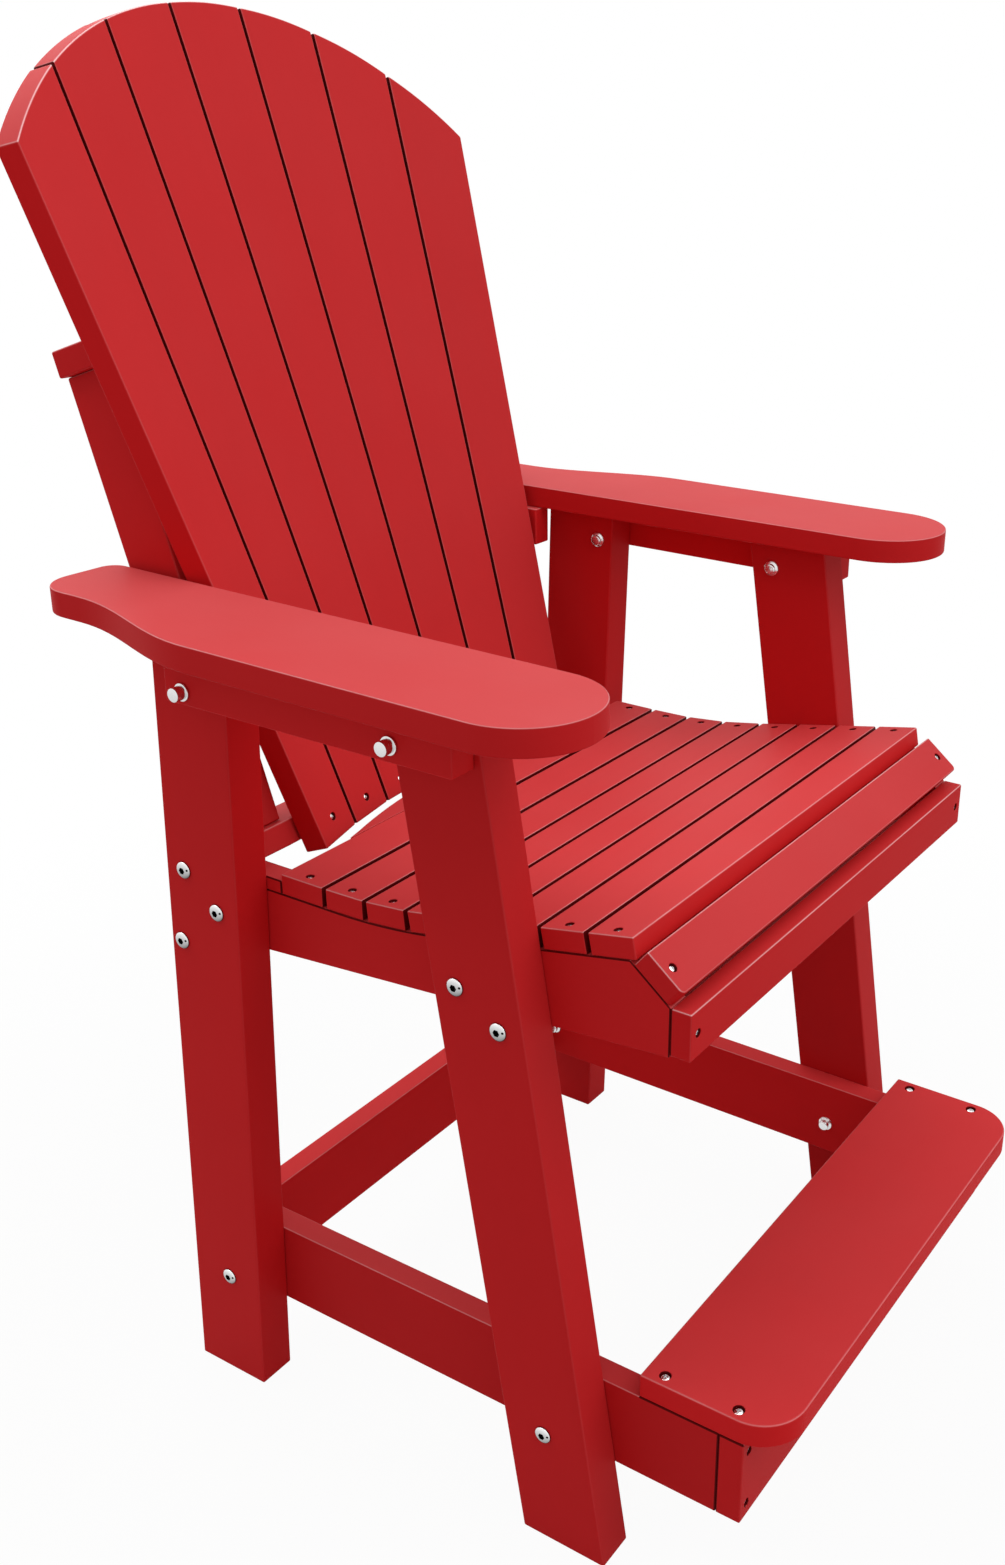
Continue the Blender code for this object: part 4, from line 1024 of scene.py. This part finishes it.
# Share of painted shade in a screw's cross recess
CROSS_REACH, CROSS_TOP, CROSS_SHADE = 0.55, 0.0007, 0.15

screw_steel = steel_finish("screw_steel", (0.90, 0.91, 0.92), (0.08, 0.16), 0.60)
screw_rings = list(SCREW_SHANK)
for step in range(SCREW_STEPS):
    bend = math.radians(90) * step / SCREW_STEPS
    screw_rings.append((SCREW_RIM + (SCREW_CROWN - SCREW_RIM) * math.sin(bend),
                        SCREW_HEAD * math.cos(bend)))
screw = turn_on_lathe("screw", screw_rings, SCREW_SIDES)
for size in ((CROSS_LONG, CROSS_WIDE), (CROSS_WIDE, CROSS_LONG)):
    bpy.ops.object.select_all(action="DESELECT")
    bpy.ops.mesh.primitive_cube_add(size=1.0, location=(0.0, 0.0, SCREW_CROWN))
    punch = bpy.context.object
    punch.scale = (*size, 2 * CROSS_DEEP)
    cut_away(screw, punch)
mark_recess(screw, lambda c: math.hypot(c.x, c.y) < SCREW_HEAD * CROSS_REACH
            and SUNK < c.z < SCREW_CROWN - CROSS_TOP, CROSS_SHADE)
smooth_steel(screw, screw_steel)
for name, place, out, bore in screw_seats:
    head = one_more(screw, "screw_" + name)
    turn = Vector((0.0, 0.0, 1.0)).rotation_difference(out).to_matrix().to_4x4()
    wide = bore / SCREW_BORE
    set_in_place(head, Matrix.Translation(place) @ turn @ Matrix.Diagonal((wide, wide, 1.0, 1.0)))
    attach(head, "root")
bpy.data.objects.remove(screw)

# Studio: a plain pale floor that fades to white, three soft boxes above, and an even fill.
# The camera stands at the photograph's place and angle.

PHOTO_WIDTH, PHOTO_HEIGHT = 1005, 1565
FOCAL_PIXELS = 1620.993
PRINCIPAL = (660.0, 763.494)
SENSOR = 36.0
CAMERA_PLACE = (-1.23592, -0.86903, 1.2412)
CAMERA_TURN = (1.18114, -0.0228, -1.01962)
FLOOR_SIZE = 24.0
FLOOR_FADE = {"From Min": 0.5, "From Max": 1.6, "To Min": 0.955, "To Max": 1.0}
FLOOR_GREY, WHITE = (0.60, 0.60, 0.60, 1.0), (1.0, 1.0, 1.0, 1.0)
FILL_LIGHT = 0.485
LIT_PLACE = Vector((0.0, 0.0, 0.6))
SOFTBOXES = {"overhead": ((0.0, -0.9, 3.2), (3.0, 3.0), 32.0),
             "high_back": ((0.1, 1.5, 2.7), (3.0, 2.0), 40.0),
             "high_front": ((0.4, -2.4, 1.9), (2.0, 1.5), 10.0)}


def seen(tree):
    """Whether a ray comes from the camera, or from a glossy or clear surface."""
    path = add_node(tree, "LightPath").outputs
    share = path["Is Camera Ray"]
    for kind in ("Is Glossy Ray", "Is Transmission Ray"):
        share = add_node(tree, "Math", {0: share, 1: path[kind]}, operation="MAXIMUM").outputs[0]
    return share


camera = bpy.data.objects.new("camera", bpy.data.cameras.new("camera"))
bpy.context.scene.collection.objects.link(camera)
camera.location = CAMERA_PLACE
camera.rotation_euler = CAMERA_TURN
camera.data.sensor_width = SENSOR
camera.data.lens = FOCAL_PIXELS / PHOTO_HEIGHT * SENSOR
camera.data.shift_x = -(PRINCIPAL[0] - PHOTO_WIDTH / 2) / PHOTO_HEIGHT
camera.data.shift_y = (PRINCIPAL[1] - PHOTO_HEIGHT / 2) / PHOTO_HEIGHT
bpy.context.scene.camera = camera

bpy.ops.object.select_all(action="DESELECT")
bpy.ops.mesh.primitive_plane_add(size=FLOOR_SIZE)
floor = bpy.context.object
floor.name = "floor"
pale = bpy.data.materials.new("pale_floor")
pale.use_nodes = True
tree = pale.node_tree
tree.nodes.clear()
matt = add_node(tree, "BsdfDiffuse", {"Color": FLOOR_GREY})
white = add_node(tree, "Emission", {"Color": WHITE, "Strength": 1.0})
place = add_node(tree, "TexCoord")
reach = add_node(tree, "VectorMath", {0: place.outputs["Object"]}, operation="LENGTH")
fade = add_node(tree, "MapRange", {"Value": reach.outputs["Value"], **FLOOR_FADE},
                interpolation_type="SMOOTHSTEP")
share = times(tree, seen(tree), fade.outputs["Result"])
both = add_node(tree, "MixShader", {0: share, 1: matt.outputs[0], 2: white.outputs[0]})
add_node(tree, "OutputMaterial", {"Surface": both.outputs[0]})
floor.data.materials.append(pale)

for name, (place, size, power) in SOFTBOXES.items():
    lamp = bpy.data.objects.new(name, bpy.data.lights.new(name, "AREA"))
    bpy.context.scene.collection.objects.link(lamp)
    lamp.data.shape = "RECTANGLE"
    lamp.data.size, lamp.data.size_y = size
    lamp.data.energy = power
    lamp.location = place
    lamp.rotation_euler = (LIT_PLACE - lamp.location).to_track_quat("-Z", "Y").to_euler()

world = bpy.data.worlds.new("studio")
bpy.context.scene.world = world
world.use_nodes = True
tree = world.node_tree
tree.nodes.clear()
fill = add_node(tree, "Background", {"Color": WHITE, "Strength": FILL_LIGHT})
white = add_node(tree, "Background", {"Color": WHITE, "Strength": 1.0})
both = add_node(tree, "MixShader", {0: seen(tree), 1: fill.outputs[0], 2: white.outputs[0]})
add_node(tree, "OutputWorld", {"Surface": both.outputs[0]})

bpy.context.scene.view_settings.view_transform = "Standard"
